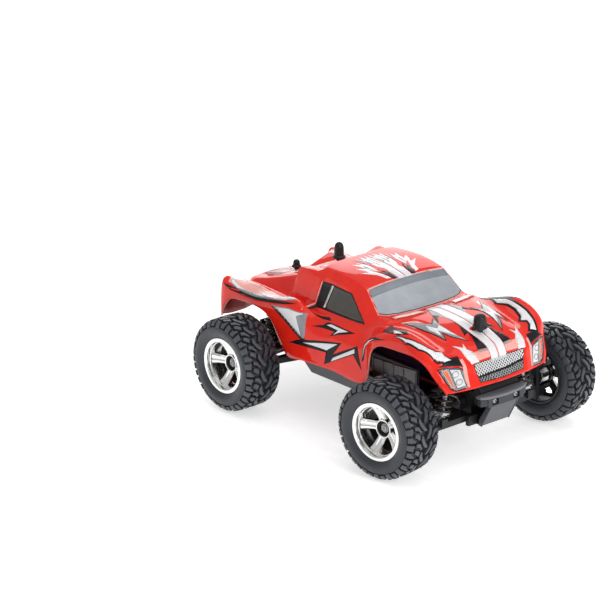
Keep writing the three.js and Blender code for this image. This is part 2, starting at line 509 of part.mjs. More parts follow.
function shellGeometry() {
  const half = Object.values(SHELL_LINES).map((line) => line.map(
    ([x, y, z]) => new THREE.Vector3(x + MID_X, y, z + AXLE_Z)));
  const mirror = half.slice(1).reverse().map((line) => line.map((p) => new THREE.Vector3(p.x, -p.y, p.z)));
  const outer = [...mirror, ...half];
  const rows = outer.length;
  const columns = outer[0].length;
  const inner = outer.map((line, i) => line.map((point, j) => {
    const acrossCar = outer[Math.min(i + 1, rows - 1)][j].clone().sub(outer[Math.max(i - 1, 0)][j]);
    const alongCar = outer[i][Math.min(j + 1, columns - 1)].clone().sub(outer[i][Math.max(j - 1, 0)]);
    const inward = alongCar.cross(acrossCar).normalize();
    return point.clone().addScaledVector(inward, SHELL_WALL);
  }));
  const positions = [...outer.flat(), ...inner.flat()].flatMap((p) => [p.x, p.y, p.z]);
  const at = (layer, i, j) => layer * rows * columns + i * columns + j;
  const index = [];
  const quad = (a, b, c, d) => index.push(a, b, c, a, c, d);
  for (let i = 0; i < rows - 1; i += 1) {
    for (let j = 0; j < columns - 1; j += 1) {
      quad(at(0, i, j), at(0, i, j + 1), at(0, i + 1, j + 1), at(0, i + 1, j));
      quad(at(1, i, j), at(1, i + 1, j), at(1, i + 1, j + 1), at(1, i, j + 1));
    }
    const last = columns - 1;
    quad(at(0, i, 0), at(0, i + 1, 0), at(1, i + 1, 0), at(1, i, 0));
    quad(at(0, i + 1, last), at(0, i, last), at(1, i, last), at(1, i + 1, last));
  }
  for (let j = 0; j < columns - 1; j += 1) {
    const last = rows - 1;
    quad(at(0, 0, j + 1), at(0, 0, j), at(1, 0, j), at(1, 0, j + 1));
    quad(at(0, last, j), at(0, last, j + 1), at(1, last, j + 1), at(1, last, j));
  }
  const geometry = new THREE.BufferGeometry();
  geometry.setAttribute('position', new THREE.Float32BufferAttribute(positions, 3));
  geometry.setIndex(index);
  const holes = [[FRONT_POST, 2.2], [MID_POST, 2.1], [REAR_POST, 1.8]].map(([post, radius]) => (
    rod([post.x, 0, post.seat - 8], [post.x, 0, post.seat + 6], radius, 14)));
  return cut(geometry, ...holes);
}

function capGeometry({ x, seat, rise, top }, radius, flange, bore) {
  const low = seat + rise;
  const profile = [
    [bore, low], [flange, low], [flange, low + 1.1], [radius, low + 1.6], [radius, top - radius * 0.7],
    [radius * 0.7, top - radius * 0.2], [0, top], [0, top - 2.4], [bore, top - 2.4],
  ];
  return turned(profile, [x, 0, 0], [x, 0, 1]);
}

// ---------- electrics ----------
function motorGeometry() {
  const at = (x) => [x, MOTOR_Y, MOTOR_Z];
  return join(rod(at(-38.4), at(-13.6), MOTOR_RADIUS, 20), rod(at(-14), at(-11.8), 3));
}

function batteryGeometry() {
  const cell = (y) => rod([-27, y, 27.4], [25, y, 27.4], 6.6, 16);
  return join(cell(8.6), cell(16), box([-27.6, 25.6], [3.6, 20.8], [22, 26.4]));
}

function boardGeometry() {
  const board = box([-7, 30], [-21, -4], [22, 23.6]);
  const parts = [box([-4, 5], [-18, -8], [23.4, 26]), box([9, 15], [-17, -12], [23.4, 27.5]),
    box([18, 28], [-19, -7], [23.4, 25]), rod([8, -8, 23.4], [8, -8, 30], 2.4, 14)];
  return join(board, ...parts);
}

function servoGeometry() {
  const body = box([33, 49], [3.2, 19.4], [FLOOR_TOP + GAP, 35.5]);
  const spindle = rod([43, 11, 35], [43, 11, 38.5], 2.6, 14);
  const arm = box([41.6, 52.4], [9.8, 12.2], [38, 39.6]);
  return join(body, spindle, arm);
}

// ---------- assembly ----------
const SIDES = ['left', 'right'];

function addFrontCorner(side) {
  const s = sign(side);
  const steered = new THREE.Group();
  steered.position.set(FRONT_X, KINGPIN_Y * s, AXLE_Z);
  steered.rotation.z = STEER_AT_REST;
  add(`knuckle_${side}`, onSide(knuckleGeometry(), side), BLACK_PLASTIC, steered);
  const wheelOut = FRONT_RIM_Y - RIM_HALF_WIDTH - KINGPIN_Y;
  steered.add(addWheel('front', side, [0, wheelOut * s, 0]));
  model.add(steered);
  add(`hub_carrier_${side}`, onSide(hubCarrierGeometry(), side), BLACK_PLASTIC)
    .position.set(FRONT_X, KINGPIN_Y * s, AXLE_Z);
  addSuspension('front', side, FRONT_X, 1, FRONT_SHOCK, KINGPIN_Y - 0.3);
}

function addRearCorner(side) {
  const s = sign(side);
  model.add(addWheel('rear', side, [REAR_X, (REAR_RIM_Y - RIM_HALF_WIDTH) * s, AXLE_Z]));
  add(`upright_${side}`, onSide(uprightGeometry(), side), BLACK_PLASTIC).position.set(REAR_X, 0, AXLE_Z);
  addSuspension('rear', side, REAR_X, -1, REAR_SHOCK, REAR_RIM_Y - 20);
}

function addSuspension(end, side, axleX, forward, shock, outerBall) {
  const tag = `${end}_${side}`;
  add(`lower_arm_${tag}`, onSide(lowerArmGeometry(forward, shock), side), BLACK_PLASTIC).position.x = axleX;
  add(`drive_shaft_${tag}`, onSide(driveShaftGeometry(outerBall), side), STEEL).position.x = axleX;
  const shockX = axleX + SHOCK_X * forward;
  add(`shock_body_${tag}`, onSide(shockBodyGeometry(shock), side), BLACK_PLASTIC).position.x = shockX;
  add(`shock_rod_${tag}`, onSide(shockRodGeometry(shock), side), STEEL).position.x = shockX;
  add(`spring_${tag}`, onSide(springGeometry(shock), side), COPPER_STEEL).position.x = shockX;
}

function addSteering() {
  const rackX = FRONT_X - STEER_ARM;
  const shift = -STEER_ARM * Math.sin(STEER_AT_REST);
  const z = AXLE_Z + 3.3;
  const thick = [rackX - 2, rackX + 1];
  const clevis = (s) => [[-1.5, -0.9], [1.7, 2.3]].map(([low, high]) => box(
    thick, s > 0 ? [12, 16] : [-16, -12], [z + low, z + high]));
  const bar = box(thick, [-12.5, 12.5], [z - 1.5, z + 2.3]);
  const horn = rod([rackX, 11, z + 2], [rackX, 11, z + 5], 0.9, 10);
  add('steering_rack', join(bar, ...clevis(1), ...clevis(-1), horn).translate(0, shift, 0), WHITE_PLASTIC);
  for (const side of SIDES) {
    const s = sign(side);
    const eyeX = rackX + STEER_ARM * (1 - Math.cos(STEER_AT_REST));
    const start = 13.6 * s + shift;
    const eye = KINGPIN_Y * s + shift;
    const ring = rod([eyeX, eye, z - 0.8], [eyeX, eye, z + 0.8], 2.8, 14);
    const link = join(rod([rackX, start, z + 0.4], [eyeX, eye - 2.2 * s, z], 1.05, 12), ring);
    const eyeHole = rod([eyeX, eye, z - 3], [eyeX, eye, z + 3], 2.1, 14);
    add(`tie_rod_${side}`, cut(link, eyeHole), BLACK_PLASTIC);
  }
}

function addDriveline() {
  // The crown wheels stand on opposite sides, so that one centre shaft turns both axles the same way.
  add('front_differential', differentialGeometry(1).translate(FRONT_X, 0, AXLE_Z), STEEL);
  add('rear_differential', differentialGeometry(-1).translate(REAR_X, 0, AXLE_Z), STEEL);
  const middle = (x0, x1, radius) => rod([x0, 0, AXLE_Z], [x1, 0, AXLE_Z], radius, 16);
  const spur = plate(gearOutline(SPUR_TEETH), 'yz', ...GEAR_X).translate(0, 0, AXLE_Z);
  const [rearEnd, frontEnd] = [REAR_X + 3.4, FRONT_X - 3.4];
  const shaft = middle(rearEnd, frontEnd, SHAFT_RADIUS);
  const bevels = [middle(rearEnd, rearEnd + 2.8, 2.2), middle(frontEnd - 2.8, frontEnd, 2.2)];
  add('centre_shaft', join(shaft, spur, ...bevels), STEEL);
  // A tooth gap of the pinion faces the spur gear where the spur gear's tooth points at it.
  const towards = Math.atan2(MOTOR_Z - AXLE_Z, MOTOR_Y);
  const toothAngle = Math.round((towards / (2 * Math.PI)) * SPUR_TEETH) * ((2 * Math.PI) / SPUR_TEETH);
  const lag = (toothAngle - towards) * (SPUR_TEETH / PINION_TEETH);
  const phase = towards + Math.PI - lag + Math.PI / PINION_TEETH;
  const teeth = plate(gearOutline(PINION_TEETH, phase), 'yz', ...GEAR_X);
  add('motor_pinion', teeth.translate(0, MOTOR_Y, MOTOR_Z), STEEL);
}

function addChassis() {
  const frontPost = bodyPost(FRONT_POST, 38, 1.6);
  frontPost.push(box([FRONT_X + 3.2, FRONT_X + 7.6], [-2.4, 2.4], [31, 46]));
  add('front_bulkhead', bulkheadGeometry(FRONT_X, 1, FRONT_SHOCK, frontPost), BLACK_PLASTIC);
  const rearPosts = [
    ...bodyPost(MID_POST, 42.4, 1.5), ...bodyPost(REAR_POST, 42.4, 1.2),
    box([REAR_POST.x - 1.6, MID_POST.x + 1.6], [-2.2, 2.2], [42, 44]),
    box([REAR_X - 5.4, REAR_X - 3.2], [-2.2, 2.2], [37, 43]),
  ];
  add('rear_bulkhead', bulkheadGeometry(REAR_X, -1, REAR_SHOCK, rearPosts), BLACK_PLASTIC);
  add('chassis_tub', chassisGeometry(), GREY_PLASTIC);
  add('front_bumper', bumperGeometry(), GREY_PLASTIC);
}

function addBody() {
  add('body_shell', shellGeometry(), RED_SHELL);
  add('front_post_cap', capGeometry({ ...FRONT_POST, top: 72.3 }, 3.3, 3.9, 1.9), BLACK_PLASTIC);
  add('mid_post_cap', capGeometry({ ...MID_POST, top: 84.1 }, 2.6, 3.5, 1.8), BLACK_PLASTIC);
  add('rear_post_cap', capGeometry({ ...REAR_POST, top: 65.8 }, 1.9, 2.6, 1.5), BLACK_PLASTIC);
}

function addElectrics() {
  add('motor', motorGeometry(), STEEL);
  add('battery', batteryGeometry(), BATTERY_WRAP);
  add('circuit_board', boardGeometry(), GREEN_BOARD);
  add('steering_servo', servoGeometry(), BLACK_PLASTIC);
  const door = box([DOOR.x[0] + GAP, DOOR.x[1] - GAP], [DOOR.y[0] + GAP, DOOR.y[1] - 0.7],
    [FLOOR_Z, FLOOR_TOP - 0.2]);
  add('battery_door', door, GREY_PLASTIC);
  const knob = join(
    box([SWITCH.x - 3.1, SWITCH.x - 0.1], [SWITCH.y - 1.1, SWITCH.y + 1.1], [FLOOR_Z - 0.1, 20.6]),
    box([SWITCH.x - 4.4, SWITCH.x + 1.2], [SWITCH.y - 2, SWITCH.y + 2], [FLOOR_TOP + GAP, 21.2]),
  );
  add('power_switch', knob, BLACK_PLASTIC);
}

addBody();
addChassis();
addElectrics();
addDriveline();
addSteering();
SIDES.forEach(addFrontCorner);
SIDES.forEach(addRearCorner);

export default model;
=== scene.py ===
"""Looks of a small remote control truck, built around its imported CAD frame.

Outlines are in millimetres, measured forward, to the car's left and up from the point midway
between the four wheels' centres. Objects are in metres in the CAD frame.
"""
import json
import math

import bmesh
import bpy
import numpy as np
from mathutils import Matrix, Vector
from mathutils.bvhtree import BVHTree

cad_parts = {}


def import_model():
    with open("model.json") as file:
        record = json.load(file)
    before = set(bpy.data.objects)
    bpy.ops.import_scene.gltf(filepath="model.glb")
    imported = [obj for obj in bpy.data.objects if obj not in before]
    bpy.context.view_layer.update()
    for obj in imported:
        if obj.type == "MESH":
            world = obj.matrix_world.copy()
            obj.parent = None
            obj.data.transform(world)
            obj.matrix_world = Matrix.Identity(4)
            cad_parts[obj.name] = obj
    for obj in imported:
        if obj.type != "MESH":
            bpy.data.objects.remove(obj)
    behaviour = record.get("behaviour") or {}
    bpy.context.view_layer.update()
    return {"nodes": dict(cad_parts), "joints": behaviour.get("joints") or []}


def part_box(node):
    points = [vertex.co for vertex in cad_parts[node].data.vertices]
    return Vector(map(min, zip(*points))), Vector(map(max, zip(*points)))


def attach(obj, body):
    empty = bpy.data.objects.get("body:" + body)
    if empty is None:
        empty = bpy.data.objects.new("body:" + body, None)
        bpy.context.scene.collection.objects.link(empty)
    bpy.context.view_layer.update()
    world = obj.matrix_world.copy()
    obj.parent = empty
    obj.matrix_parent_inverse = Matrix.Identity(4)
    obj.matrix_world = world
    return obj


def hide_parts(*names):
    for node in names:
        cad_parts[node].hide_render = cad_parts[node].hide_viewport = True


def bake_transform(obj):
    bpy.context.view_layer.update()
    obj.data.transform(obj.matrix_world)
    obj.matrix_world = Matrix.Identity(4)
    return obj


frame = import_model()

# ---------- driving dimensions: places come from the frame ----------
MM = 0.001
CORNERS = ("front_left", "front_right", "rear_left", "rear_right")
SIDES = {"left": 1, "right": -1}


def centre_of(node):
    low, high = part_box(node)
    return (low + high) / 2


WHEEL_AT = {corner: centre_of(f"rim_{corner}") for corner in CORNERS}
MIDDLE = Vector((
    sum(place.x for place in WHEEL_AT.values()) / len(CORNERS), 0,
    sum(place.z for place in WHEEL_AT.values()) / len(CORNERS)))
TYRE_RADIUS = MIDDLE.z / MM
RIM_HALF = (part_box("rim_rear_left")[1].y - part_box("rim_rear_left")[0].y) / MM / 2
SHELL_WALL = 0.9
FILM_LIFT = 0.07            # from one layer of graphics to the next
FILM_THICKNESS = 0.05
JOINTS = {joint["name"]: joint for joint in frame["joints"]}


def world(point):
    """A point in mid-wheelbase millimetres as a place in the CAD frame."""
    return MIDDLE + Vector(point) * MM


# ---------- materials ----------
MOTTLE_SIZE = 6.0           # patches of slightly darker and lighter colour
DARKER, LIGHTER = 0.92, 1.06
SMEAR_SIZE = 2.5            # patches of duller and shinier surface
SHINIER, DULLER = 0.85, 1.15
COAT_ROUGHNESS = 0.04
GRAIN_STRENGTH = 0.6


def shader(name, colour, roughness, metallic=0.0, coat=0.0, grain=0.0, grain_size=0.4, **extra):
    """A principled material with fine variation; grain is the bump's height, grain_size its scale."""
    material = bpy.data.materials.new(name)
    material.use_nodes = True
    nodes, links = material.node_tree.nodes, material.node_tree.links
    principled = nodes["Principled BSDF"]
    principled.inputs["Metallic"].default_value = metallic
    principled.inputs["Coat Weight"].default_value = coat
    principled.inputs["Coat Roughness"].default_value = COAT_ROUGHNESS
    for socket, value in extra.items():
        principled.inputs[socket.replace("_", " ")].default_value = value
    place = nodes.new("ShaderNodeTexCoord")

    def noise(size, detail=3):
        node = nodes.new("ShaderNodeTexNoise")
        node.inputs["Scale"].default_value = 1 / (size * MM)
        node.inputs["Detail"].default_value = detail
        links.new(place.outputs["Object"], node.inputs["Vector"])
        return node.outputs["Fac"]

    ramp = nodes.new("ShaderNodeValToRGB")
    for stop, position, tint in zip(ramp.color_ramp.elements, (0.3, 0.7), (DARKER, LIGHTER)):
        stop.position = position
        stop.color = (*(min(1, c * tint) for c in colour), 1)
    links.new(noise(MOTTLE_SIZE), ramp.inputs["Fac"])
    links.new(ramp.outputs["Color"], principled.inputs["Base Color"])
    spread = nodes.new("ShaderNodeMapRange")
    spread.inputs["To Min"].default_value = roughness * SHINIER
    spread.inputs["To Max"].default_value = min(1, roughness * DULLER)
    links.new(noise(SMEAR_SIZE), spread.inputs["Value"])
    links.new(spread.outputs["Result"], principled.inputs["Roughness"])
    if grain:
        bump = nodes.new("ShaderNodeBump")
        bump.inputs["Distance"].default_value = grain * MM
        bump.inputs["Strength"].default_value = GRAIN_STRENGTH
        links.new(noise(grain_size, 5), bump.inputs["Height"])
        links.new(bump.outputs["Normal"], principled.inputs["Normal"])
    return material


def film_shader(name, colour, roughness=0.3, coat=0.4, **extra):
    """A smooth glossy film with the shell's own faint waviness."""
    return shader(name, colour, roughness, coat=coat, grain=0.003, grain_size=4, **extra)


PAINT = film_shader("shell_paint", (0.84, 0.020, 0.008), coat=0.75, Specular_IOR_Level=0.0)
PAINT_INSIDE = shader("shell_inside", (0.42, 0.02, 0.014), 0.5, grain=0.01, grain_size=3)
PAINT_EDGE = shader("shell_cut_edge", (0.85, 0.26, 0.22), 0.4, grain=0.01)
WHITE = film_shader("graphic_white", (0.83, 0.83, 0.85))
BLACK = film_shader("graphic_black", (0.007, 0.007, 0.010), coat=0.08, Specular_IOR_Level=0.2)
GREY = film_shader("graphic_grey", (0.27, 0.28, 0.30))
# Pale pink: print in some places, and painted highlight along the windscreen's frame, the B-pillar's
# rear edge and the nose's corners.
PINK_AND_HIGHLIGHT = film_shader("graphic_pink_and_highlight", (0.92, 0.40, 0.35))
# Pale pink of the raised cowl vents' pads: a painted highlight.
VENT_HIGHLIGHT = film_shader("vent_painted_highlight", (0.95, 0.52, 0.48))
ORANGE = shader("marker_orange", (0.80, 0.13, 0.02), 0.25, coat=0.8, grain=0.01)
SCREEN = film_shader("windscreen", (0.36, 0.39, 0.43), 0.2, coat=0.5)
SCREEN_BAND = film_shader("windscreen_band", (0.20, 0.225, 0.26), 0.2, coat=0.5)
SIDE_GLASS = film_shader("side_window", (0.055, 0.053, 0.045), 0.25, coat=0.2)
LENS = shader("headlight_lens", (0.72, 0.73, 0.75), 0.12, coat=1.0, grain=0.03, grain_size=0.8)
LENS_SHADE = shader("headlight_shade", (0.30, 0.31, 0.34), 0.2, coat=0.8, grain=0.01)
WIRE = shader("grille_wire", (0.74, 0.75, 0.77), 0.3, metallic=0.2, grain=0.01)
WIRE_DARK = shader("grille_wire_dark", (0.34, 0.345, 0.36), 0.35, metallic=0.2, grain=0.01)
RUBBER = shader("tyre_rubber", (0.032, 0.035, 0.043), 0.42, grain=0.03, grain_size=0.6,
                Specular_IOR_Level=0.5)
# Lighter rubber for the tread blocks' tops: a painted highlight where they catch the light.
TREAD_TOP_LIT = shader("tread_top_painted_highlight", (0.070, 0.075, 0.086), 0.45, grain=0.03, grain_size=0.6,
                   Specular_IOR_Level=0.5)
CHROME = shader("rim_plating", (0.86, 0.86, 0.85), 0.17, metallic=1.0, grain=0.008, grain_size=1.2)
HUB_DARK = shader("hub_recess", (0.09, 0.085, 0.08), 0.5, metallic=0.5, grain=0.03)
# Near black for the rim's inboard faces: painted shade inside the wheel.
RIM_SHADE = shader("rim_inside_painted_shade", (0.02, 0.02, 0.023), 0.4, grain=0.02)
NUT_STEEL = shader("hub_nut", (0.20, 0.195, 0.19), 0.35, metallic=0.8, grain=0.01, grain_size=0.3)
STEEL = shader("machined_steel", (0.45, 0.45, 0.47), 0.3, metallic=1.0, grain=0.01, grain_size=0.3)
BLACK_PLASTIC = shader("black_plastic", (0.012, 0.013, 0.015), 0.42, grain=0.02, grain_size=0.3,
                       Specular_IOR_Level=0.35)
GREY_PLASTIC = shader("grey_plastic", (0.035, 0.038, 0.045), 0.45, grain=0.03, grain_size=0.3,
                      Specular_IOR_Level=0.4)
# The bumper's grey made paler for its lip: painted light falling from above.
LIP_LIT_PLASTIC = shader("bumper_lip_painted_light", (0.15, 0.155, 0.17), 0.42, grain=0.03, grain_size=0.3)
PANEL_GREY = shader("arch_panel_plastic", (0.17, 0.17, 0.175), 0.5, grain=0.03, grain_size=0.3)
SPRING_WIRE = shader("spring_wire", (0.045, 0.04, 0.038), 0.28, metallic=0.7, grain=0.01)
COPPER = shader("collar_copper", (0.50, 0.22, 0.11), 0.3, metallic=1.0, grain=0.01)
NYLON = shader("white_nylon", (0.12, 0.12, 0.12), 0.45, grain=0.02)
SKID_PLASTIC = shader("skid_plastic", (0.07, 0.074, 0.082), 0.42, grain=0.03, grain_size=0.3)
BOARD = shader("solder_mask", (0.02, 0.10, 0.045), 0.35, coat=0.5, grain=0.03, grain_size=0.8)
WRAP = shader("battery_wrap", (0.03, 0.09, 0.30), 0.3, coat=0.4, grain=0.03, grain_size=2.0)


# ---------- mesh helpers: meshes are made in millimetres and scaled once ----------
SAME_PLACE = 1e-4           # points closer than this are one


def in_metres(name, bm):
    """A mesh in metres from one drawn in millimetres, which is freed."""
    bmesh.ops.scale(bm, vec=(MM, MM, MM), verts=bm.verts)
    mesh = bpy.data.meshes.new(name)
    bm.to_mesh(mesh)
    bm.free()
    return mesh


def finished(name, bm):
    """A closed form as a mesh in metres, its faces turned outward."""
    bmesh.ops.recalc_face_normals(bm, faces=bm.faces)
    return in_metres(name, bm)


def linked(name, data):
    """A new object in the scene."""
    obj = bpy.data.objects.new(name, data)
    bpy.context.scene.collection.objects.link(obj)
    return obj


def show(name, mesh, materials, sharp):
    """A named object in the scene, with edges sharper than an angle in degrees left crisp."""
    for material in materials:
        mesh.materials.append(material)
    mesh.shade_smooth()
    mesh.set_sharp_from_angle(angle=math.radians(sharp))
    obj = linked(name, mesh)
    return obj


def place_mesh(name, mesh, materials, body, sharp, origin, turn=None):
    """A rigid piece at a place in the frame, riding on a CAD body."""
    obj = show(name, mesh, materials, sharp)
    obj.matrix_world = Matrix.Translation(origin) @ (turn or Matrix.Identity(4))
    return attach(obj, body)


def piece(name, bm, material, body, sharp, origin, turn=None):
    """A rigid piece of one material from a closed form drawn in millimetres."""
    return place_mesh(name, finished(name, bm), [material], body, sharp, origin, turn)


def bevel(obj, width, segments=2, angle=35):
    """Rounds the edges that are sharper than an angle in degrees."""
    edge = obj.modifiers.new("edges", "BEVEL")
    edge.width = width * MM
    edge.segments = segments
    edge.limit_method = "ANGLE"
    edge.angle_limit = math.radians(angle)
    edge.harden_normals = True
    return obj


def ellipse(u, v, half_u, half_v, count=18):
    """Points round an ellipse."""
    turns = [2 * math.pi * k / count for k in range(count)]
    return [(u + half_u * math.cos(t), v + half_v * math.sin(t)) for t in turns]


def lathe(bm, profile, segments, closed=True, shape=None):
    """Turns [radius, height] points about Y; shape(angle, radius, height) may alter a radius."""
    rings = []
    for i in range(segments):
        angle = 2 * math.pi * i / segments
        ring = []
        for radius, height in profile:
            r = shape(angle, radius, height) if shape else radius
            ring.append(bm.verts.new((r * math.sin(angle), height, r * math.cos(angle))))
        rings.append(ring)
    steps = len(profile) if closed else len(profile) - 1
    for i in range(segments):
        near, far = rings[i], rings[(i + 1) % segments]
        for j in range(steps):
            k = (j + 1) % len(profile)
            bm.faces.new((near[j], near[k], far[k], far[j]))
    bmesh.ops.remove_doubles(bm, verts=bm.verts, dist=SAME_PLACE)


def skin(bm, rings):
    """Faces from each ring of points to the next, and a face over each end."""
    count = len(rings[0])
    for near, far in zip(rings, rings[1:]):
        for k in range(count):
            j = (k + 1) % count
            bm.faces.new((near[k], near[j], far[j], far[k]))
    bm.faces.new(rings[0])
    bm.faces.new(list(reversed(rings[-1])))


def sweep(bm, points, radius, sides):
    """A round wire through the points."""
    rings = []
    side = None
    for i, point in enumerate(points):
        along = (points[min(i + 1, len(points) - 1)] - points[max(i - 1, 0)]).normalized()
        side = side or along.orthogonal()
        side = (side - along * along.dot(side)).normalized()
        up = along.cross(side)
        ring = [side * u + up * v for u, v in ellipse(0, 0, radius, radius, sides)]
        rings.append([bm.verts.new(point + offset) for offset in ring])
    skin(bm, rings)


def prism(bm, outline, low, high, to_place=lambda u, v, w: (u, v, w)):
    """Extrudes an outline from low to high; to_place says where (u, v, w) lies."""
    skin(bm, [[bm.verts.new(to_place(u, v, w)) for u, v in outline] for w in (low, high)])


def flat_patch(outlines, step):
    """Outlines in a plane as faces cut by a grid of that step."""
    bm = bmesh.new()
    for outline in outlines:
        bm.faces.new([bm.verts.new((u, v, 0)) for u, v in outline])
    low = [min(v.co[k] for v in bm.verts) for k in range(2)]
    high = [max(v.co[k] for v in bm.verts) for k in range(2)]
    for k in range(2):
        for i in range(1, int((high[k] - low[k]) / step) + 1):
            cut_at, cut_normal = [0, 0, 0], [0, 0, 0]
            cut_at[k], cut_normal[k] = low[k] + i * step, 1
            bmesh.ops.bisect_plane(
                bm, geom=bm.verts[:] + bm.edges[:] + bm.faces[:], plane_co=cut_at, plane_no=cut_normal)
    return bm


# ---------- tyres ----------
PITCHES = 18
PITCH = 2 * math.pi * TYRE_RADIUS / PITCHES
CROWN_HALF = 7.0
CROWN_CURVE = 0.003         # drop of the crown per square millimetre from its middle
SHOULDER_ARC = 4.3
OVER_END = 13               # where the tread ends, measured over the crown and shoulder
LUG = 2.1                   # depth of the grooves at the crown
LUG_LOSS = 0.7              # how much shallower they get over the shoulder
LOSS_FROM, LOSS_TO = 8, 13  # measured over the tread
ROOT = 0.3                  # how far a block is sunk into the carcass
GROOVE_TRIM = 0.1
BLOCK_STEP = 1.6
BLOCK_EDGE = 0.24
SIDEWALL = ((10.95, 21.2), (11.25, 20.3), (11.35, 19.4), (11.3, 18.5), (11.05, 17.6), (10.75, 17.0),
            (10.45, 16.4), (10.1, 15.8), (9.6, 15.3), (8.4, 15.25))
# One pitch of the tread's left half: [along the tread, outboard from its middle line].
TREAD_BLOCKS = (
    ((0.2, -0.9), (2.2, 0.3), (4.6, 1.9), (7, 2.3), (7.9, 3.6), (5.2, 4.4), (2.4, 3.2), (0.3, 1.5)),
    ((0.4, 3), (2.3, 4.2), (3.9, 5), (4.5, 7.6), (2.5, 8.2), (1.7, 5.9), (0.2, 4.6)),
    ((5.3, 5.4), (7.9, 4.6), (9.3, 6.2), (9.9, 8.2), (7.8, 8.7), (6.6, 7)),
    ((0.3, 9.4), (2.3, 9), (3.9, 8.6), (4, 13.3), (0.4, 13.3)),
    ((4.9, 8.2), (6, 8), (7.2, 9.6), (8.3, 9.8), (8.2, 12.7), (5, 12.7)),
)


def tread_point(s, depth):
    """Outboard place and radius at distance s over the tread and shoulder, and depth below it."""
    side = 1 if s >= 0 else -1
    s = abs(s)
    if s <= CROWN_HALF:
        return side * s, TYRE_RADIUS - CROWN_CURVE * s * s - depth
    angle = (s - CROWN_HALF) / SHOULDER_ARC
    reach = SHOULDER_ARC - depth
    drop = TYRE_RADIUS - CROWN_CURVE * CROWN_HALF ** 2 - SHOULDER_ARC
    return side * (CROWN_HALF + reach * math.sin(angle)), drop + reach * math.cos(angle)


def groove_depth(s):
    """Depth of the grooves at distance s over the tread."""
    return LUG - LUG_LOSS * min(1, max(0, (abs(s) - LOSS_FROM) / (LOSS_TO - LOSS_FROM)))


def append(bm, part):
    """Adds one bmesh to another and frees it."""
    mesh = bpy.data.meshes.new("part")
    part.to_mesh(mesh)
    part.free()
    bm.from_mesh(mesh)
    bpy.data.meshes.remove(mesh)


def tread_block(outline):
    """A block raised from its outline, with a bevelled top of a lighter rubber, a painted highlight."""
    block = flat_patch([outline], BLOCK_STEP)
    top = bmesh.ops.extrude_face_region(block, geom=block.faces[:])["geom"]
    verts = [g for g in top if isinstance(g, bmesh.types.BMVert)]
    bmesh.ops.translate(block, vec=(0, 0, LUG + ROOT), verts=verts)
    block.normal_update()
    for face in block.faces:
        # Tops of the blocks take the lighter rubber: painted highlight.
        face.material_index = int(face.normal.z > 0.5 and face.calc_center_median().z > LUG)
    rim = [e for e in block.edges if min(v.co.z for v in e.verts) > LUG
           and any(abs(f.normal.z) < 0.5 for f in e.link_faces)]
    bmesh.ops.bevel(block, geom=rim, offset=BLOCK_EDGE, segments=2, affect="EDGES", profile=0.6)
    return block


def tread_pitch():
    """One pitch of blocks as [along, over the tread, height] before it is wrapped round the tyre."""
    bm = bmesh.new()
    for side, shift in ((1, 0), (-1, PITCH / 2)):
        for block in TREAD_BLOCKS:
            append(bm, tread_block([(u + shift, s * side) for u, s in grown(block, -GROOVE_TRIM)]))
    return bm


def tyre_mesh():
    """Carcass with rounded sidewalls, and the blocks wrapped round it."""
    bm = bmesh.new()
    over = [tread_point(s, groove_depth(s)) for s in np.linspace(0, OVER_END, OVER_END + 1)]
    half = [(r, y) for y, r in (*over, *SIDEWALL)]
    lathe(bm, [(r, -y) for r, y in reversed(half)] + half[1:], 120)
    pitch = tread_pitch()
    mesh = bpy.data.meshes.new("pitch")
    pitch.to_mesh(mesh)
    pitch.free()
    flat = np.array([v.co for v in mesh.vertices])
    for k in range(PITCHES):
        for vertex, (u, s, height) in zip(mesh.vertices, flat):
            depth = (LUG + ROOT - height) / (LUG + ROOT) * (groove_depth(s) + ROOT)
            y, radius = tread_point(s, depth)
            angle = (u + k * PITCH) / TYRE_RADIUS
            vertex.co = (radius * math.sin(angle), y, radius * math.cos(angle))
        bm.from_mesh(mesh)
    bpy.data.meshes.remove(mesh)
    return finished("tyre", bm)


# ---------- rims ----------
SPOKES = 5
CUP_RADIUS = 4.0
CUP_FACE = RIM_HALF - 5.9
CUP_FLOOR = RIM_HALF - 8.85
NUT_RADIUS = 2.3
SHADE_BARREL_FROM = 9.3           # the barrel gets near black as painted shade from here inward
SHADE_BACKS_BELOW = 3.5            # and so do the backs of faces below this depth
# A spoke from the hub to the barrel: [distance from the axle, half width, distance behind the lip].
SPOKE_STATIONS = ((4.4, 2.4, 6.8), (6.5, 2.3, 6.3), (9.2, 2.5, 5.2), (11.2, 2.8, 4.0), (12.5, 3.2, 3.0))


def add_spoke(bm, turn):
    """A spoke with a shallow flute along its face."""
    rings = []
    for reach, half, behind in SPOKE_STATIONS:
        top = RIM_HALF - behind
        right = [(half * 0.3, top + 0.1), (half * 0.72, top), (half, top - 1.1), (half, top - 2.8)]
        section = [(-h, y) for h, y in reversed(right)] + [(0, top - 0.45)] + right
        rings.append([bm.verts.new(turn @ Vector((reach, y, h))) for h, y in section])
    skin(bm, rings)


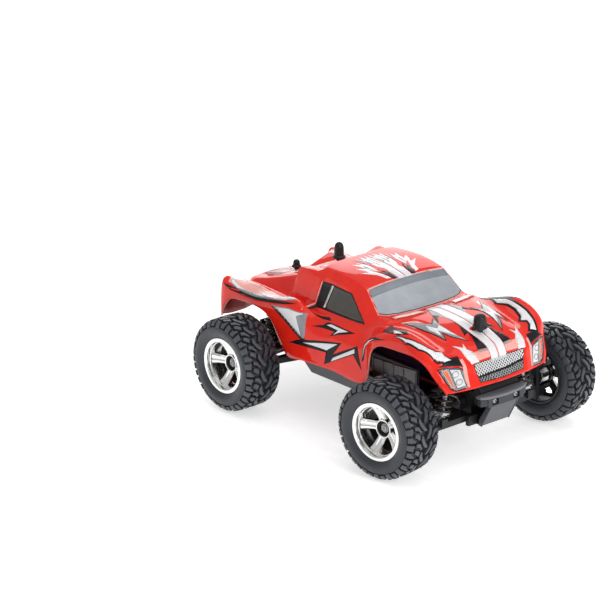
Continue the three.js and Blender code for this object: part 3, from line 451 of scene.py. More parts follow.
def rim_mesh():
    """Plated rim: lip, stepped barrel, spokes and a hub cup; its inboard side is near black, painted
    shade inside the wheel.
    """
    bm = bmesh.new()
    face = RIM_HALF
    lathe(bm, [
        (15.2, face - 0.5), (14.95, face - 0.1), (14.4, face), (13.4, face - 0.1), (12.95, face - 0.35),
        (12.8, face - 0.9), (12.7, face - 2.2), (12.3, face - 2.5), (12.2, face - 3.2),
        (12.1, face - 9.2), (12.6, face - 9.8), (13.6, face - 10.2), (13.7, 0.6 - face),
        (14.2, -face), (15, -face),
        (15.2, 0.3 - face), (15.1, 0.8 - face), (15.1, face - 1.0)], 96)
    lathe(bm, [
        (4.8, CUP_FACE - 0.4), (4.7, CUP_FACE - 0.1), (4.4, CUP_FACE), (CUP_RADIUS, CUP_FACE - 0.2),
        (CUP_RADIUS - 0.1, CUP_FLOOR), (1.9, CUP_FLOOR), (1.9, CUP_FLOOR - 0.9),
        (4.8, CUP_FLOOR - 0.9)], 48)
    for i in range(SPOKES):
        add_spoke(bm, Matrix.Rotation(2 * math.pi * i / SPOKES, 3, "Y"))
    bmesh.ops.recalc_face_normals(bm, faces=bm.faces)
    # Inboard faces take the near-black second material: painted shade inside the wheel.
    for part in bm.faces:
        height = part.calc_center_median().y
        inboard = height < face - SHADE_BARREL_FROM or (part.normal.y < -0.5 and height < face - SHADE_BACKS_BELOW)
        part.material_index = int(inboard)
    return finished("rim", bm)


def nut_mesh():
    """Hexagon nut and the axle's end."""
    bm = bmesh.new()
    hexagon = ellipse(0, 0, NUT_RADIUS, NUT_RADIUS, 6)
    prism(bm, hexagon, CUP_FLOOR + 0.1, CUP_FLOOR + 1.5, lambda u, v, w: (u, w, v))
    lathe(bm, [(0, CUP_FLOOR + 2.2), (0.9, CUP_FLOOR + 2.2), (1.1, CUP_FLOOR + 1.9),
               (1.1, CUP_FLOOR + 1.0), (0, CUP_FLOOR + 1.0)], 20)
    return finished("nut", bm)


def cup_lining_mesh():
    """Dull inside of the hub cup."""
    bm = bmesh.new()
    inner = CUP_RADIUS - 0.12
    lathe(bm, [(inner, CUP_FACE - 0.5), (inner - 0.1, CUP_FACE - 0.5), (inner - 0.18, CUP_FLOOR + 0.12),
               (1.9, CUP_FLOOR + 0.12), (1.9, CUP_FLOOR + 0.03), (inner - 0.05, CUP_FLOOR + 0.03)], 40)
    return finished("cup_lining", bm)


def turned(mesh, turn):
    """A copy of a mesh with the turn in its own points, so that its box is exact."""
    result = mesh.copy()
    result.transform(turn)
    return result


def add_wheels():
    """Tyre, rim, nut and hub lining at each corner, turned to its axle's direction at rest."""
    tyre, rim, nut, lining = tyre_mesh(), rim_mesh(), nut_mesh(), cup_lining_mesh()
    for corner in CORNERS:
        outboard = Vector(JOINTS[f"wheel_spin_{corner}"]["axis"])
        if corner.endswith("right"):
            outboard.negate()
        along = outboard.cross(Vector((0, 0, 1))).normalized()
        turn = Matrix((along, outboard, along.cross(outboard))).transposed().to_4x4()

        def fit(name, mesh, materials, sharp=30):
            return place_mesh(f"{name}_{corner}", turned(mesh, turn), materials,
                              f"wheel_{corner}", sharp, WHEEL_AT[corner])

        # The blocks' tops get the lighter rubber as painted highlight.
        rubber = fit("tread", tyre, [RUBBER, TREAD_TOP_LIT], 40)
        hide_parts(f"tyre_{corner}")
        plated = bevel(fit("wheel_rim", rim, [CHROME, RIM_SHADE]), 0.25)
        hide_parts(f"rim_{corner}")
        bevel(fit("wheel_nut", nut, [NUT_STEEL]), 0.2)
        fit("hub_lining", lining, [HUB_DARK])


# ---------- the shell: named lines from the nose to the tail ----------
SHELL_LINES = {
    "centre": (
        (83.3, 0, 17.3), (80.6, 0, 23.2), (78.4, 0, 29.3), (74.9, 0, 34.3), (66.5, 0, 37.5),
        (56, 0, 40.6), (45, 0, 41.9), (36, 0, 42.4), (30.4, 0, 41.5), (28.3, 0, 41.6), (10, 0, 53),
        (0, 0, 55.3), (-12, 0, 56.4), (-25, 0, 55.9), (-29, 0, 51), (-40.5, 0, 49.4), (-50, 0, 45.5),
        (-57, 0, 42), (-66, 0, 38.4), (-76, 0, 34.9), (-86, 0, 32), (-97, 0, 29), (-98.5, 0, 12)),
    "ridge": (
        (81.6, 19, 16.8), (80.2, 18, 22.9), (78.7, 18.1, 28.8), (73.4, 17.5, 34.3), (65.5, 17.5, 37.3),
        (55.5, 18, 40.2), (44.8, 19, 41.5), (35.6, 20, 42.1), (29.6, 21, 41.5), (26.2, 20.5, 41.6),
        (10.4, 20, 52.5), (0, 20, 54.8), (-12, 20, 55.9), (-25, 20, 55.6), (-28.8, 16, 50.8),
        (-41, 16, 48), (-50, 16, 43.5), (-57, 15.5, 40), (-66, 15.5, 36.8), (-76, 15.5, 33.6),
        (-86, 15, 30.8), (-96, 14.5, 28.4), (-97.4, 14.5, 12)),
    "shoulder": (
        (79.9, 27, 16.6), (78.4, 26.5, 22.5), (77.3, 25.6, 28.2), (72, 24, 34.2), (64.5, 24.5, 36.4),
        (55, 25, 38.6), (44.8, 26, 39.9), (35.2, 27, 40.6), (28.5, 30, 41.2), (22.1, 29.4, 41.6),
        (10.5, 27.2, 51.4), (0, 27.3, 53.6), (-12, 26.8, 54.4), (-22.5, 26.4, 53.5),
        (-28.5, 26.4, 51.9), (-41, 27.6, 50.8), (-47, 24, 31), (-57, 20.5, 29), (-66, 20, 27.8),
        (-76, 19.5, 27), (-85, 19.5, 27), (-91.5, 21, 27.2), (-95, 21, 12.4)),
    "belt": (
        (79, 31, 16.6), (77.3, 31.5, 22.3), (75.6, 31.5, 28.6), (71.5, 31, 34.5), (64, 31, 37),
        (54.5, 31, 39.4), (44.5, 31.5, 40.1), (35.5, 32.5, 39.6), (28.5, 34.2, 38.6), (20.5, 34, 36),
        (9, 34, 35.8), (-3, 33.5, 35.2), (-14, 33, 34.4), (-25, 32, 33.7), (-31.5, 30.5, 34.4),
        (-44, 29.8, 34.3), (-48, 31, 34.4), (-56, 31.5, 34.9), (-66, 32, 35.7), (-76, 32, 35.5),
        (-82.5, 33, 35), (-88, 33.5, 33.6), (-93.2, 31, 13)),
    "crest": (
        (78.4, 33.5, 16.7), (76.5, 35.5, 22), (73.9, 35.8, 28.6), (70.5, 36.5, 36), (63, 37.5, 40.8),
        (53.5, 38, 43.3), (44, 37.3, 42), (35.5, 37, 39.6), (29, 37.5, 36.8), (22, 37.5, 33.6),
        (9, 37.2, 33), (-3, 36.8, 32.5), (-14, 36.5, 32.5), (-24, 36.5, 35), (-31, 35.5, 37.2),
        (-42, 35.5, 36), (-47.5, 36.5, 34.8), (-56, 37, 34.4), (-66, 37.5, 34.3), (-76, 38, 34.6),
        (-84.5, 38, 35.3), (-90.6, 36.6, 34.2), (-91.8, 36.5, 13.8)),
    "flank": (
        (78, 34.6, 16.8), (75.6, 37.4, 21.6), (71.8, 39.6, 27.4), (69.5, 40.8, 34), (62.8, 42.4, 38.3),
        (53, 43, 40.6), (43.5, 42.8, 39.4), (35.8, 42.3, 37), (29.5, 42, 33), (24.5, 42, 27.5),
        (9, 41.5, 27), (-3, 41, 26.5), (-14, 41.4, 26.3), (-24, 42, 31.5), (-31, 42, 35),
        (-42, 41.7, 33.8), (-47, 42, 33.3), (-56, 42, 32.2), (-66, 42.3, 31.6), (-76, 42.5, 32.4),
        (-84.5, 42.5, 33.4), (-89.6, 41, 31.6), (-90.4, 40.4, 14.8)),
    "hem": (
        (77.8, 34.8, 15.8), (75.2, 37.3, 20.2), (71.4, 39.8, 26), (68.6, 42, 30.7), (62.5, 43.9, 34),
        (52.5, 44.2, 34.2), (43, 44.2, 33.8), (37, 44.2, 32.4), (30.8, 44.2, 25.5), (27.3, 44.2, 10.4),
        (9, 44.2, 9.8), (-3, 44, 9.5), (-14, 44, 9), (-23.4, 43.6, 8.1), (-33, 42.8, 7),
        (-38.6, 42.6, 11.8), (-42.4, 42.5, 17), (-48, 42.4, 24), (-58, 42.5, 27.7), (-72, 42.5, 27.7),
        (-81, 42.8, 25.9), (-87, 42.6, 18.8), (-89.4, 41.6, 14.4)),
}
LINE = {name: k for k, name in enumerate(SHELL_LINES)}
# Edges that stay crisp: along a line from one rib to another, and along a rib from line to line.
CREASED_LINES = (
    ("shoulder", 9, 15, 0.55), ("belt", 9, 15, 0.5), ("ridge", 0, 3, 0.45), ("shoulder", 0, 3, 0.3),
    ("crest", 0, 3, 0.5), ("flank", 8, 13, 0.3), ("ridge", 14, 22, 0.7), ("shoulder", 16, 22, 0.7),
    ("belt", 16, 22, 0.5), ("crest", 14, 22, 0.4))
CREASED_RIBS = ((9, 0, 2, 0.7), (10, 0, 3, 0.5), (13, 0, 3, 0.7), (14, 0, 3, 0.7), (15, 0, 3, 0.7),
                (2, 0, 3, 0.45), (21, 0, 3, 0.6), (16, 2, 3, 0.5))
SMOOTHING = 3
FIT_PASSES = 4
FIT_SHARE = 0.9             # of the remaining distance, in each pass


def shell_cage():
    """The shell's outer surface as quads between the named lines, with crisp edges marked."""
    lines = list(SHELL_LINES.values())
    ribs = len(lines[0])
    last_line = len(lines) - 1
    rows = [(k, -1) for k in range(last_line, 0, -1)] + [(k, 1) for k in range(last_line + 1)]
    verts = [Vector((lines[k][j][0], lines[k][j][1] * side, lines[k][j][2])) for k, side in rows
             for j in range(ribs)]
    faces = [(i * ribs + j, i * ribs + j + 1, (i + 1) * ribs + j + 1, (i + 1) * ribs + j)
             for i in range(len(rows) - 1) for j in range(ribs - 1)]
    mesh = bpy.data.meshes.new("shell_cage")
    mesh.from_pydata(verts, [], faces)
    sharpness = {}
    for i, (k, _) in enumerate(rows):
        for name, first, last, value in CREASED_LINES:
            if LINE[name] == k:
                for j in range(first, last):
                    sharpness[frozenset((i * ribs + j, i * ribs + j + 1))] = value
    for i in range(len(rows) - 1):
        low, high = sorted((rows[i][0], rows[i + 1][0]))
        for rib, first, last, value in CREASED_RIBS:
            if first <= low and high <= last:
                sharpness[frozenset((i * ribs + rib, (i + 1) * ribs + rib))] = value
    crease = mesh.attributes.new("crease_edge", "FLOAT", "EDGE")
    for edge in mesh.edges:
        crease.data[edge.index].value = sharpness.get(frozenset(edge.vertices), 0.0)
    return mesh, [v.copy() for v in verts]


def smoothed(mesh, levels):
    """The mesh after subdivision, as a new mesh."""
    obj = linked("smoothing", mesh)
    surface = obj.modifiers.new("surface", "SUBSURF")
    surface.levels = surface.render_levels = levels
    surface.boundary_smooth = "PRESERVE_CORNERS"
    result = bpy.data.meshes.new_from_object(
        obj.evaluated_get(bpy.context.evaluated_depsgraph_get()))
    bpy.data.objects.remove(obj)
    return result


def fitted_surface():
    """Subdivision surface pulled back through the cage's own points, which smoothing moves inward."""
    mesh, wanted = shell_cage()
    for _ in range(FIT_PASSES):
        fine = smoothed(mesh, SMOOTHING)
        for k, target in enumerate(wanted):
            mesh.vertices[k].co += (target - fine.vertices[k].co) * FIT_SHARE
        bpy.data.meshes.remove(fine)
    fine = smoothed(mesh, SMOOTHING)
    bpy.data.meshes.remove(mesh)
    return fine


# ---------- planes that graphics and recesses are drawn in ----------
FAR = 200                   # a plane's distance before the car, clear of the shell


class Plane:
    """A drawing plane: the direction it looks in, and its two axes."""

    def __init__(self, sight, across, up):
        self.sight = Vector(sight).normalized()
        self.across, self.up = Vector(across), Vector(up)

    def of(self, point):
        return point.dot(self.across), point.dot(self.up)

    def at(self, u, v):
        return self.across * u + self.up * v - self.sight * FAR


TOP = Plane((0, 0, -1), (1, 0, 0), (0, 1, 0))
LEFT = Plane((0, -1, 0), (1, 0, 0), (0, 0, 1))
FRONT = Plane((-1, 0, 0), (0, 1, 0), (0, 0, 1))
CHEEK_ANGLE = math.radians(35)
CHEEK = Plane((-math.cos(CHEEK_ANGLE), -math.sin(CHEEK_ANGLE), 0),
              (-math.sin(CHEEK_ANGLE), math.cos(CHEEK_ANGLE), 0), (0, 0, 1))
GLASS_TILT = math.radians(60)
GLASS = Plane((-math.cos(GLASS_TILT), 0, -math.sin(GLASS_TILT)), (0, 1, 0),
              (-math.sin(GLASS_TILT), 0, math.cos(GLASS_TILT)))


def inside_distance(outline, u, v):
    """Distance to an outline's edge: positive inside."""
    nearest, inside = 1e9, False
    for i in range(len(outline)):
        (x0, y0), (x1, y1) = outline[i], outline[(i + 1) % len(outline)]
        dx, dy = x1 - x0, y1 - y0
        t = max(0, min(1, ((u - x0) * dx + (v - y0) * dy) / (dx * dx + dy * dy)))
        nearest = min(nearest, math.hypot(u - x0 - t * dx, v - y0 - t * dy))
        if (y0 > v) != (y1 > v) and u < (x1 - x0) * (v - y0) / (y1 - y0) + x0:
            inside = not inside
    return nearest if inside else -nearest


WINDSCREEN = (
    (-26.4, 16.1), (-14, 17), (0, 17.3), (14, 17), (26.4, 16.1), (28.9, 2.3), (25.6, -0.1),
    (19.4, -2.1), (10, -3.2), (0, -3.5), (-10, -3.2), (-19.4, -2.1), (-25.6, -0.1), (-28.9, 2.3))
SIDE_WINDOW = ((-21.9, 48.1), (-14.4, 48.6), (1.5, 47.8), (16.4, 35.9), (-17.8, 35.0), (-24.1, 34.6))
GRILLE = ((-18, 28.5), (18, 28.5), (15.2, 18.7), (0, 18.3), (-15.2, 18.7))
COWL_VENT = ((31.4, 10.4), (30.2, 21), (29.0, 28.6), (32.6, 27.6), (35.2, 21), (37.0, 10.2))
HEADLIGHT = (
    (-11.7, 28.5), (-15, 29.1), (-22.8, 28.1), (-24.6, 27), (-27.2, 18), (-21, 17.4), (-18.2, 18.6))
POST_HOLES = ((64.8, 2.3), (-41, 2.2), (-75.4, 1.9))         # place along the middle, and radius
HOLE_RING = 2.5                                              # points this near a hole make its edge
RELIEF_RAMP = 1.6                                            # width of the step round a recess


def relief(bm, plane, outline, depth, keep=0.35):
    """Sinks (or raises) the surface inside an outline where it faces the plane by at least keep."""
    for vertex in bm.verts:
        side = 1 if vertex.co.y >= 0 else -1
        point = Vector((vertex.co.x, vertex.co.y * side, vertex.co.z))
        normal = Vector((vertex.normal.x, vertex.normal.y * side, vertex.normal.z))
        if -normal.dot(plane.sight) < keep:
            continue
        share = inside_distance(outline, *plane.of(point)) / RELIEF_RAMP + 0.5
        share = max(0, min(1, share))
        if share:
            vertex.co -= vertex.normal * depth * share * share * (3 - 2 * share)


def outer_shell():
    """The shell's outer surface in millimetres, with its recesses and the raised cowl vents."""
    fine = fitted_surface()
    bm = bmesh.new()
    bm.from_mesh(fine)
    bpy.data.meshes.remove(fine)
    bm.normal_update()
    if sum(f.normal.z * f.calc_area() for f in bm.faces) < 0:
        bmesh.ops.reverse_faces(bm, faces=bm.faces)
        bm.normal_update()
    relief(bm, GLASS, grown(WINDSCREEN, -0.4), 0.4)
    relief(bm, LEFT, grown(SIDE_WINDOW, -0.5), 0.4)
    relief(bm, FRONT, GRILLE, 0.6)
    relief(bm, TOP, COWL_VENT, -0.55, 0.3)
    relief(bm, CHEEK, HEADLIGHT, 0.3, 0.3)
    return bm


def cut_post_holes(bm):
    """Round holes where the body posts come through."""
    for x, radius in POST_HOLES:
        inside = [v for v in bm.verts if math.hypot(v.co.x - x, v.co.y) < radius]
        bmesh.ops.delete(bm, geom=inside, context="VERTS")
        for vertex in bm.verts:
            gap = math.hypot(vertex.co.x - x, vertex.co.y)
            if vertex.is_boundary and gap < radius + HOLE_RING:
                vertex.co.x = x + (vertex.co.x - x) * radius / gap
                vertex.co.y *= radius / gap


# ---------- graphics: thin films that lie on the shell ----------
MITRE_LIMIT = 0.35          # of an offset outline's sharpest corners


class Films:
    """Gathers outlines by material; lift counts the layers below, so that films never meet."""

    def __init__(self, surface):
        self.tree = BVHTree.FromBMesh(surface)
        self.layers = {}

    def lay(self, material, plane, *outlines, lift=1.0, both=True, step=1.0):
        """Drops outlines onto the shell along the plane's sight, on both sides unless told not to."""
        patch = flat_patch(outlines, step)
        bmesh.ops.triangulate(patch, faces=patch.faces)
        lost = []
        for vertex in patch.verts:
            start = plane.at(vertex.co.x, vertex.co.y)
            place, normal, _, _ = self.tree.ray_cast(start, plane.sight)
            if place is None:
                lost.append(vertex)
                continue
            if normal.dot(plane.sight) > 0:
                normal = -normal
            vertex.co = place + normal * (FILM_LIFT * lift)
        bmesh.ops.delete(patch, geom=lost, context="VERTS")
        patch.normal_update()
        away = [f for f in patch.faces if f.normal.dot(plane.sight) > 0]
        bmesh.ops.reverse_faces(patch, faces=away)
        target = self.layers.setdefault(material.name, (material, bmesh.new()))[1]
        mesh = bpy.data.meshes.new("film")
        patch.to_mesh(mesh)
        target.from_mesh(mesh)
        if both:
            bmesh.ops.scale(patch, vec=(1, -1, 1), verts=patch.verts)
            bmesh.ops.reverse_faces(patch, faces=patch.faces)
            patch.to_mesh(mesh)
            target.from_mesh(mesh)
        patch.free()
        bpy.data.meshes.remove(mesh)

    def finish(self):
        """One piece for each material, given its thickness."""
        for name, (material, bm) in self.layers.items():
            film = place_mesh(
                f"film_{name}", in_metres(name, bm), [material], "body", 50, MIDDLE)
            thicken(film, FILM_THICKNESS)


def thicken(obj, thickness):
    """Gives a surface a thickness, measured inward."""
    solid = obj.modifiers.new("thickness", "SOLIDIFY")
    solid.thickness = thickness * MM
    solid.offset = -1
    return solid


def grown(outline, by):
    """An outline moved outward by a distance (inward when it is negative)."""
    count = len(outline)
    area = sum(outline[i][0] * outline[(i + 1) % count][1] - outline[(i + 1) % count][0] * outline[i][1]
               for i in range(count))
    turn = 1 if area > 0 else -1
    result = []
    for i in range(count):
        before, here, after = (Vector(outline[(i + k) % count]) for k in (-1, 0, 1))
        first, second = (here - before).normalized(), (after - here).normalized()
        out = Vector((first.y + second.y, -first.x - second.x)) * turn
        out.normalize()
        cosine = max(MITRE_LIMIT, out.dot(Vector((second.y, -second.x)) * turn))
        result.append(tuple(here + out * by / cosine))
    return result


def add_bonnet_films(lay):
    """Twin stripes with black edges, a bolt each side, flames at the nose, painted highlight on the
    nose's corners, and cowl vents with a painted highlight on each pad ringed by painted shade.
    """
    lay(WHITE, TOP,
        ((30.4, 0.3), (78.6, 0.3), (78.6, 5.3), (75.5, 5.4), (62, 6.3), (46, 6.3), (30.8, 5.4)))
    lay(GREY, TOP, ((31.4, 6), (36, 8), (41.4, 10.6), (43.2, 8.8), (48.6, 6.9), (49.6, 6.5)))
    lay(BLACK, TOP,
        ((41, 10.5), (50, 14.4), (43.2, 8.5)),
        ((50.4, 6.5), (57, 7.2), (65, 10.8), (63.4, 7.4), (67, 8), (75, 11.6), (75.6, 5.6), (62, 6.5)))
    lay(GREY, TOP, ((75.7, 5.6), (76.6, 5.5), (76.2, 11.4), (75.2, 11.6)))
    lay(PINK_AND_HIGHLIGHT, FRONT, ((5.6, 33), (16.4, 33.2), (13.8, 29.4), (5.8, 29.6)))
    lay(WHITE, TOP,
        ((78.6, 13.6), (75.2, 14.9), (73, 17.2), (69.2, 16.2), (71.6, 18.4), (67.8, 22.4), (71.8, 20.6),
        (75, 20.6), (78.6, 19)))
    lay(WHITE, FRONT, ((15.6, 32.6), (13.6, 28.8), (18.6, 28.8), (20.4, 31.4), (19.8, 33)))
    # A pale pink band on the corner between grille and headlight: painted highlight where the corner
    # catches the light.
    lay(PINK_AND_HIGHLIGHT, FRONT, ((22.4, 31.6), (24.4, 31.4), (24.2, 18), (21.8, 18)))
    lay(PINK_AND_HIGHLIGHT, TOP, ((35.6, 27.2), (40.4, 21.4), (46.6, 19.6), (50.2, 22.4), (44.4, 26.2)))
    bolt = (
        (37.6, 26.6), (42, 25.6), (50.3, 24.4), (57.2, 22.8), (62.9, 21.6), (57.6, 19.4), (62.6, 17.4),
        (68.8, 12), (60.6, 15), (52.4, 15.4), (44.6, 13.2), (48.8, 18), (43, 22.4))
    lay(BLACK, TOP, grown(bolt, 0.3), lift=1.6)
    lay(GREY, TOP, grown(bolt, -0.25), lift=2.4)
    lay(WHITE, TOP,
        ((47.6, 21.4), (53.6, 18.8), (51.6, 15.9), (58, 15.6), (63.6, 14.2), (58.6, 17.6), (54.8, 19.8),
        (59.2, 21.2), (51.8, 22.6)), lift=3.2)
    # A darker red ring round each raised vent is painted shade along its step; the pale pad inside it
    # is a painted highlight.
    lay(PAINT_INSIDE, TOP, grown(COWL_VENT, 0.2), lift=0.8)
    lay(VENT_HIGHLIGHT, TOP, grown(COWL_VENT, -0.7), lift=1.6)


def add_fender_films(lay):
    """Black and white bolt at the windscreen's corner and the stripe over the fender's crest."""
    lay(BLACK, TOP, ((33, 31), (46, 35.4), (55.7, 39.9), (50.4, 42.3), (44, 41.6), (36, 40)))
    lay(WHITE, TOP, ((43, 39), (52.4, 41.2), (46.5, 41.6)), lift=2)
    right_band = (
        (49, -42.8), (56.1, -42.3), (62, -40.6), (67.4, -38.2), (69.8, -35.6), (70, -31.6),
        (71.8, -31.6), (74, -28.8), (73.6, -33), (72.2, -36.4), (70.8, -38), (64.3, -41.7), (56.4, -43))
    lay(BLACK, TOP, grown(right_band, 0.55), both=False)
    lay(WHITE, TOP, right_band, lift=2, both=False)
    left_band = (
        (41, 33.7), (47.4, 35.5), (57, 35.2), (62.9, 35.1), (69, 34), (73.1, 32.4), (72, 29),
        (69.8, 31.2), (66.9, 31.8), (64.6, 29.6), (62.8, 31.8), (57.8, 33.1), (51.5, 33.4),
        (45.4, 31.8))
    lay(BLACK, TOP, grown(left_band, 1.2), both=False)
    lay(WHITE, TOP, left_band, lift=2, both=False)
    lay(BLACK, CHEEK,
        ((-12, 29.6), (-15, 31.4), (-17.6, 33), (-22.4, 32.8), (-25, 28.2), (-22.8, 29), (-15, 29.9)),
        lift=1.4)


def add_roof_films(lay):
    """Pale flames that run back over the roof, with a black edge in front."""
    lay(WHITE, TOP,
        ((11, 0.3), (11, 4.4), (3, 5.2), (0, 4.4), (-4, 6.4), (-12, 7.4), (-19.5, 8.6), (-15.4, 6.2),
        (-21, 4.4), (-15.6, 3.2), (-20.6, 0.9), (-14, 0.3)))
    lay(GREY, TOP,
        ((-7, 1.2), (-18, 1.8), (-8, 2.2)),
        ((-5, 3.3), (-17, 4.2), (-7, 4.4)),
        ((-8, 5.4), (-17.4, 6.8), (-9, 6.5)), lift=2)
    lay(BLACK, TOP, ((10.6, 4.9), (3.4, 5.7), (-2.4, 8.4), (3.2, 7.6), (0.4, 10.4), (6, 8.4), (9.6, 8)))
    lay(WHITE, TOP,
        ((8.8, 8.6), (4.6, 9.6), (-3, 13.2), (0.6, 9.6), (-8, 9.4), (-15, 12.2), (-10.4, 12.2),
        (-14.4, 15.6), (-5.4, 13.4), (-8.6, 18), (-1, 14.6), (-2.6, 19.4), (3.4, 13), (8, 11.4)))
    lay(GREY, TOP, ((-1, 10.8), (-9.6, 11.8), (-6.2, 12.6)), lift=2)
    lay(GREY, TOP, ((-9.5, 9), (-4.6, 7.6), (-13, 8.6), (-18.6, 10.8)))


def add_side_films(lay):
    """Side window, the arrow and bolt on the door, the pale wedge behind it and the arch's edge."""
    lay(BLACK, LEFT, SIDE_WINDOW)
    lay(SIDE_GLASS, LEFT, ((-12.2, 47.8), (1.2, 47.2), (14.6, 36.7), (-15.4, 35.9)), lift=2)
    lay(WHITE, LEFT, ((-14.3, 47.9), (-13, 47.8), (-16.2, 35.9), (-17.6, 35.8)), lift=2)
    lay(BLACK, LEFT,
        ((-14, 47), (-13.8, 47), (-16.4, 37.4), (-16.7, 37.4)),
        ((-13.5, 45.4), (-13.3, 45.4), (-15.4, 37.8), (-15.7, 37.8)), lift=3)
    # A thin pale pink line along the B-pillar's rear edge: painted highlight.
    lay(PINK_AND_HIGHLIGHT, LEFT, ((-22.9, 48), (-22.2, 48), (-24.4, 34.6), (-25, 34.6)))
    arrow = (
        (-16.4, 28.2), (-9.6, 30), (-8, 31.6), (-2, 32), (14.6, 31.8), (3.8, 28.6), (-2.2, 26.4),
        (0.2, 29.2))
    lay(BLACK, LEFT, arrow)
    lay(WHITE, LEFT,
        ((-7.6, 30.4), (-4.6, 31.4), (9.6, 31.4), (3.6, 29.6), (0.4, 27.9), (2.4, 30.3)), lift=2)
    lay(BLACK, TOP, ((-22, 37.2), (-9, 35), (-6, 36.4), (-12, 36.8)))
    bolt_side = (
        (-32.2, 15.2), (-24, 19.2), (7.7, 25.5), (2.4, 18.2), (19.7, 27.2), (25, 16), (17.6, 22.2),
        (-3.4, 11.4), (-3, 17.6), (-22.8, 16.4))
    lay(BLACK, LEFT, bolt_side)
    lay(WHITE, LEFT,
        ((-20.6, 18.4), (5, 24.2), (-2.8, 18.9)),
        ((2.6, 16.4), (18, 25.3), (18.5, 23.3), (1.4, 14.2)), lift=2)
    lay(GREY, LEFT,
        ((-47.3, 31.9), (-32, 33.6), (-20.8, 33.4), (-19.8, 29.6), (-19.4, 22.4), (-21, 19.8),
        (-38.4, 28.6)))
    lay(WHITE, LEFT,
        ((-43.3, 31.5), (-33, 33.2), (-22.6, 33), (-27.1, 30.9), (-22.4, 21.6), (-33.5, 27.2)), lift=2)
    lay(BLACK, LEFT,
        ((-48.4, 32.2), (-39, 27.6), (-21, 18.9), (-18.4, 20.4), (-21.2, 20.6), (-38, 28.9)))
    lay(BLACK, LEFT,
        ((24.5, 20.5), (24.2, 29.6), (26.4, 32.7), (33.5, 36.1), (42, 37.2), (34, 34.8), (28, 31.7),
        (26.1, 29.2), (26, 22)))
    lay(WHITE, LEFT,
        ((24.9, 22.4), (24.8, 29.3), (26.9, 32.1), (32.8, 35), (28, 31.7), (25.6, 29.1)), lift=2)


def add_rear_films(lay):
    """A pale leaf over the rear fender with a black lower edge, and streaks over the bed."""
    lay(PINK_AND_HIGHLIGHT, TOP,
        ((-88, 34), (-84, 40.8), (-66, 41.2), (-48, 40.9), (-33, 40.6), (-27.6, 38.4), (-36, 37.4),
        (-50, 34.6), (-64, 33.4), (-78, 33)), lift=0.6)
    lay(BLACK, LEFT,
        ((-87.4, 34), (-80, 31.7), (-69, 31.1), (-59, 31.2), (-48, 32.7), (-38, 34.4), (-28, 37),
        (-36, 36.2), (-48, 34.2), (-56, 33.1), (-66, 32.6), (-76, 33.3)))
    lay(GREY, TOP,
        ((-30, 39.2), (-40, 38.6), (-52, 39.4), (-64, 40), (-76, 40.2), (-84, 40.6), (-76, 41.6),
        (-60, 41.5), (-44, 41), (-33, 40.6)), lift=1.4)
    lay(WHITE, TOP,
        ((-33, 39.9), (-42, 39.3), (-46, 40), (-54, 38.4), (-63, 37.4), (-56, 39.8), (-46, 40.8),
         (-37, 40.7)),
        ((-70, 40.2), (-78, 39.6), (-86, 37), (-82, 40.2), (-76, 41.2)), lift=2)
    lay(WHITE, TOP,
        ((-52, 36), (-62, 35.4), (-58, 36.6)),
        ((-76, 34), (-87, 33), (-84, 37.4)),
        ((-34, 33.4), (-37.6, 31.6), (-36, 34.6)))
    lay(WHITE, TOP,
        ((-30.4, 0.8), (-37, 0.8), (-38.6, 9), (-32.6, 12.4), (-30.6, 8)),
        ((-46, 5), (-66, 5.6), (-72, 8.8), (-58, 10.4), (-48, 9)))
    lay(GREY, TOP,
        ((-38.8, 9.5), (-40, 13.4), (-33.4, 13.6), (-32.6, 12.6)),
        ((-70, 2), (-90, 2.4), (-94, 6), (-76, 7)))
    lay(BLACK, TOP, ((-74, 8.6), (-90, 8), (-93, 9.4), (-78, 10.4)))


def add_glass_films(lay):
    """Windscreen with a pale frame that is a painted highlight along its bevel, a darker band along its
    top and a black foot.
    """
    # Pale pink frame round the windscreen: painted highlight on the bevelled edge.
    lay(PINK_AND_HIGHLIGHT, GLASS, grown(WINDSCREEN, 0.8), lift=0.7, both=False)
    lay(SCREEN, GLASS, WINDSCREEN, lift=1.6, both=False)
    band = [(y, v) for y, v in WINDSCREEN if v > 15]
    band += [(27.2, 11.8), (14, 12.4), (0, 12.7), (-14, 12.4), (-27.2, 11.8)]
    lay(SCREEN_BAND, GLASS, band, lift=2.4, both=False)
    foot = [(y, v + 0.2) for y, v in WINDSCREEN if v < 5]
    lay(BLACK, GLASS, foot + [(y, v - 0.6) for y, v in reversed(foot)], lift=2.4, both=False)


WIRE_PITCH = 1.8
WIRE_LEAN = 5               # a wire's half width across the grille, from foot to head
WIRE_FOOT, WIRE_RISE = 18.2, 10.4
WIRE_MARGIN = 0.2
WIRES_EACH_SIDE = 30
WIRE_POINTS = 41            # tried along a wire to find where it enters and leaves


def grille_wires(outline, half_width):
    """Crossing slanted wires clipped to an outline."""
    for k in range(-WIRES_EACH_SIDE, WIRES_EACH_SIDE + 1):
        for lean in (WIRE_LEAN, -WIRE_LEAN):
            run = [(k * WIRE_PITCH - lean + 2 * lean * t, WIRE_FOOT + WIRE_RISE * t)
                   for t in np.linspace(0, 1, WIRE_POINTS)]
            inside = [Vector(p) for p in run if inside_distance(outline, *p) > WIRE_MARGIN]
            if len(inside) > 2:
                foot, head = inside[0], inside[-1]
                out = Vector((head.y - foot.y, foot.x - head.x)).normalized() * half_width
                yield foot + out, foot - out, head - out, head + out


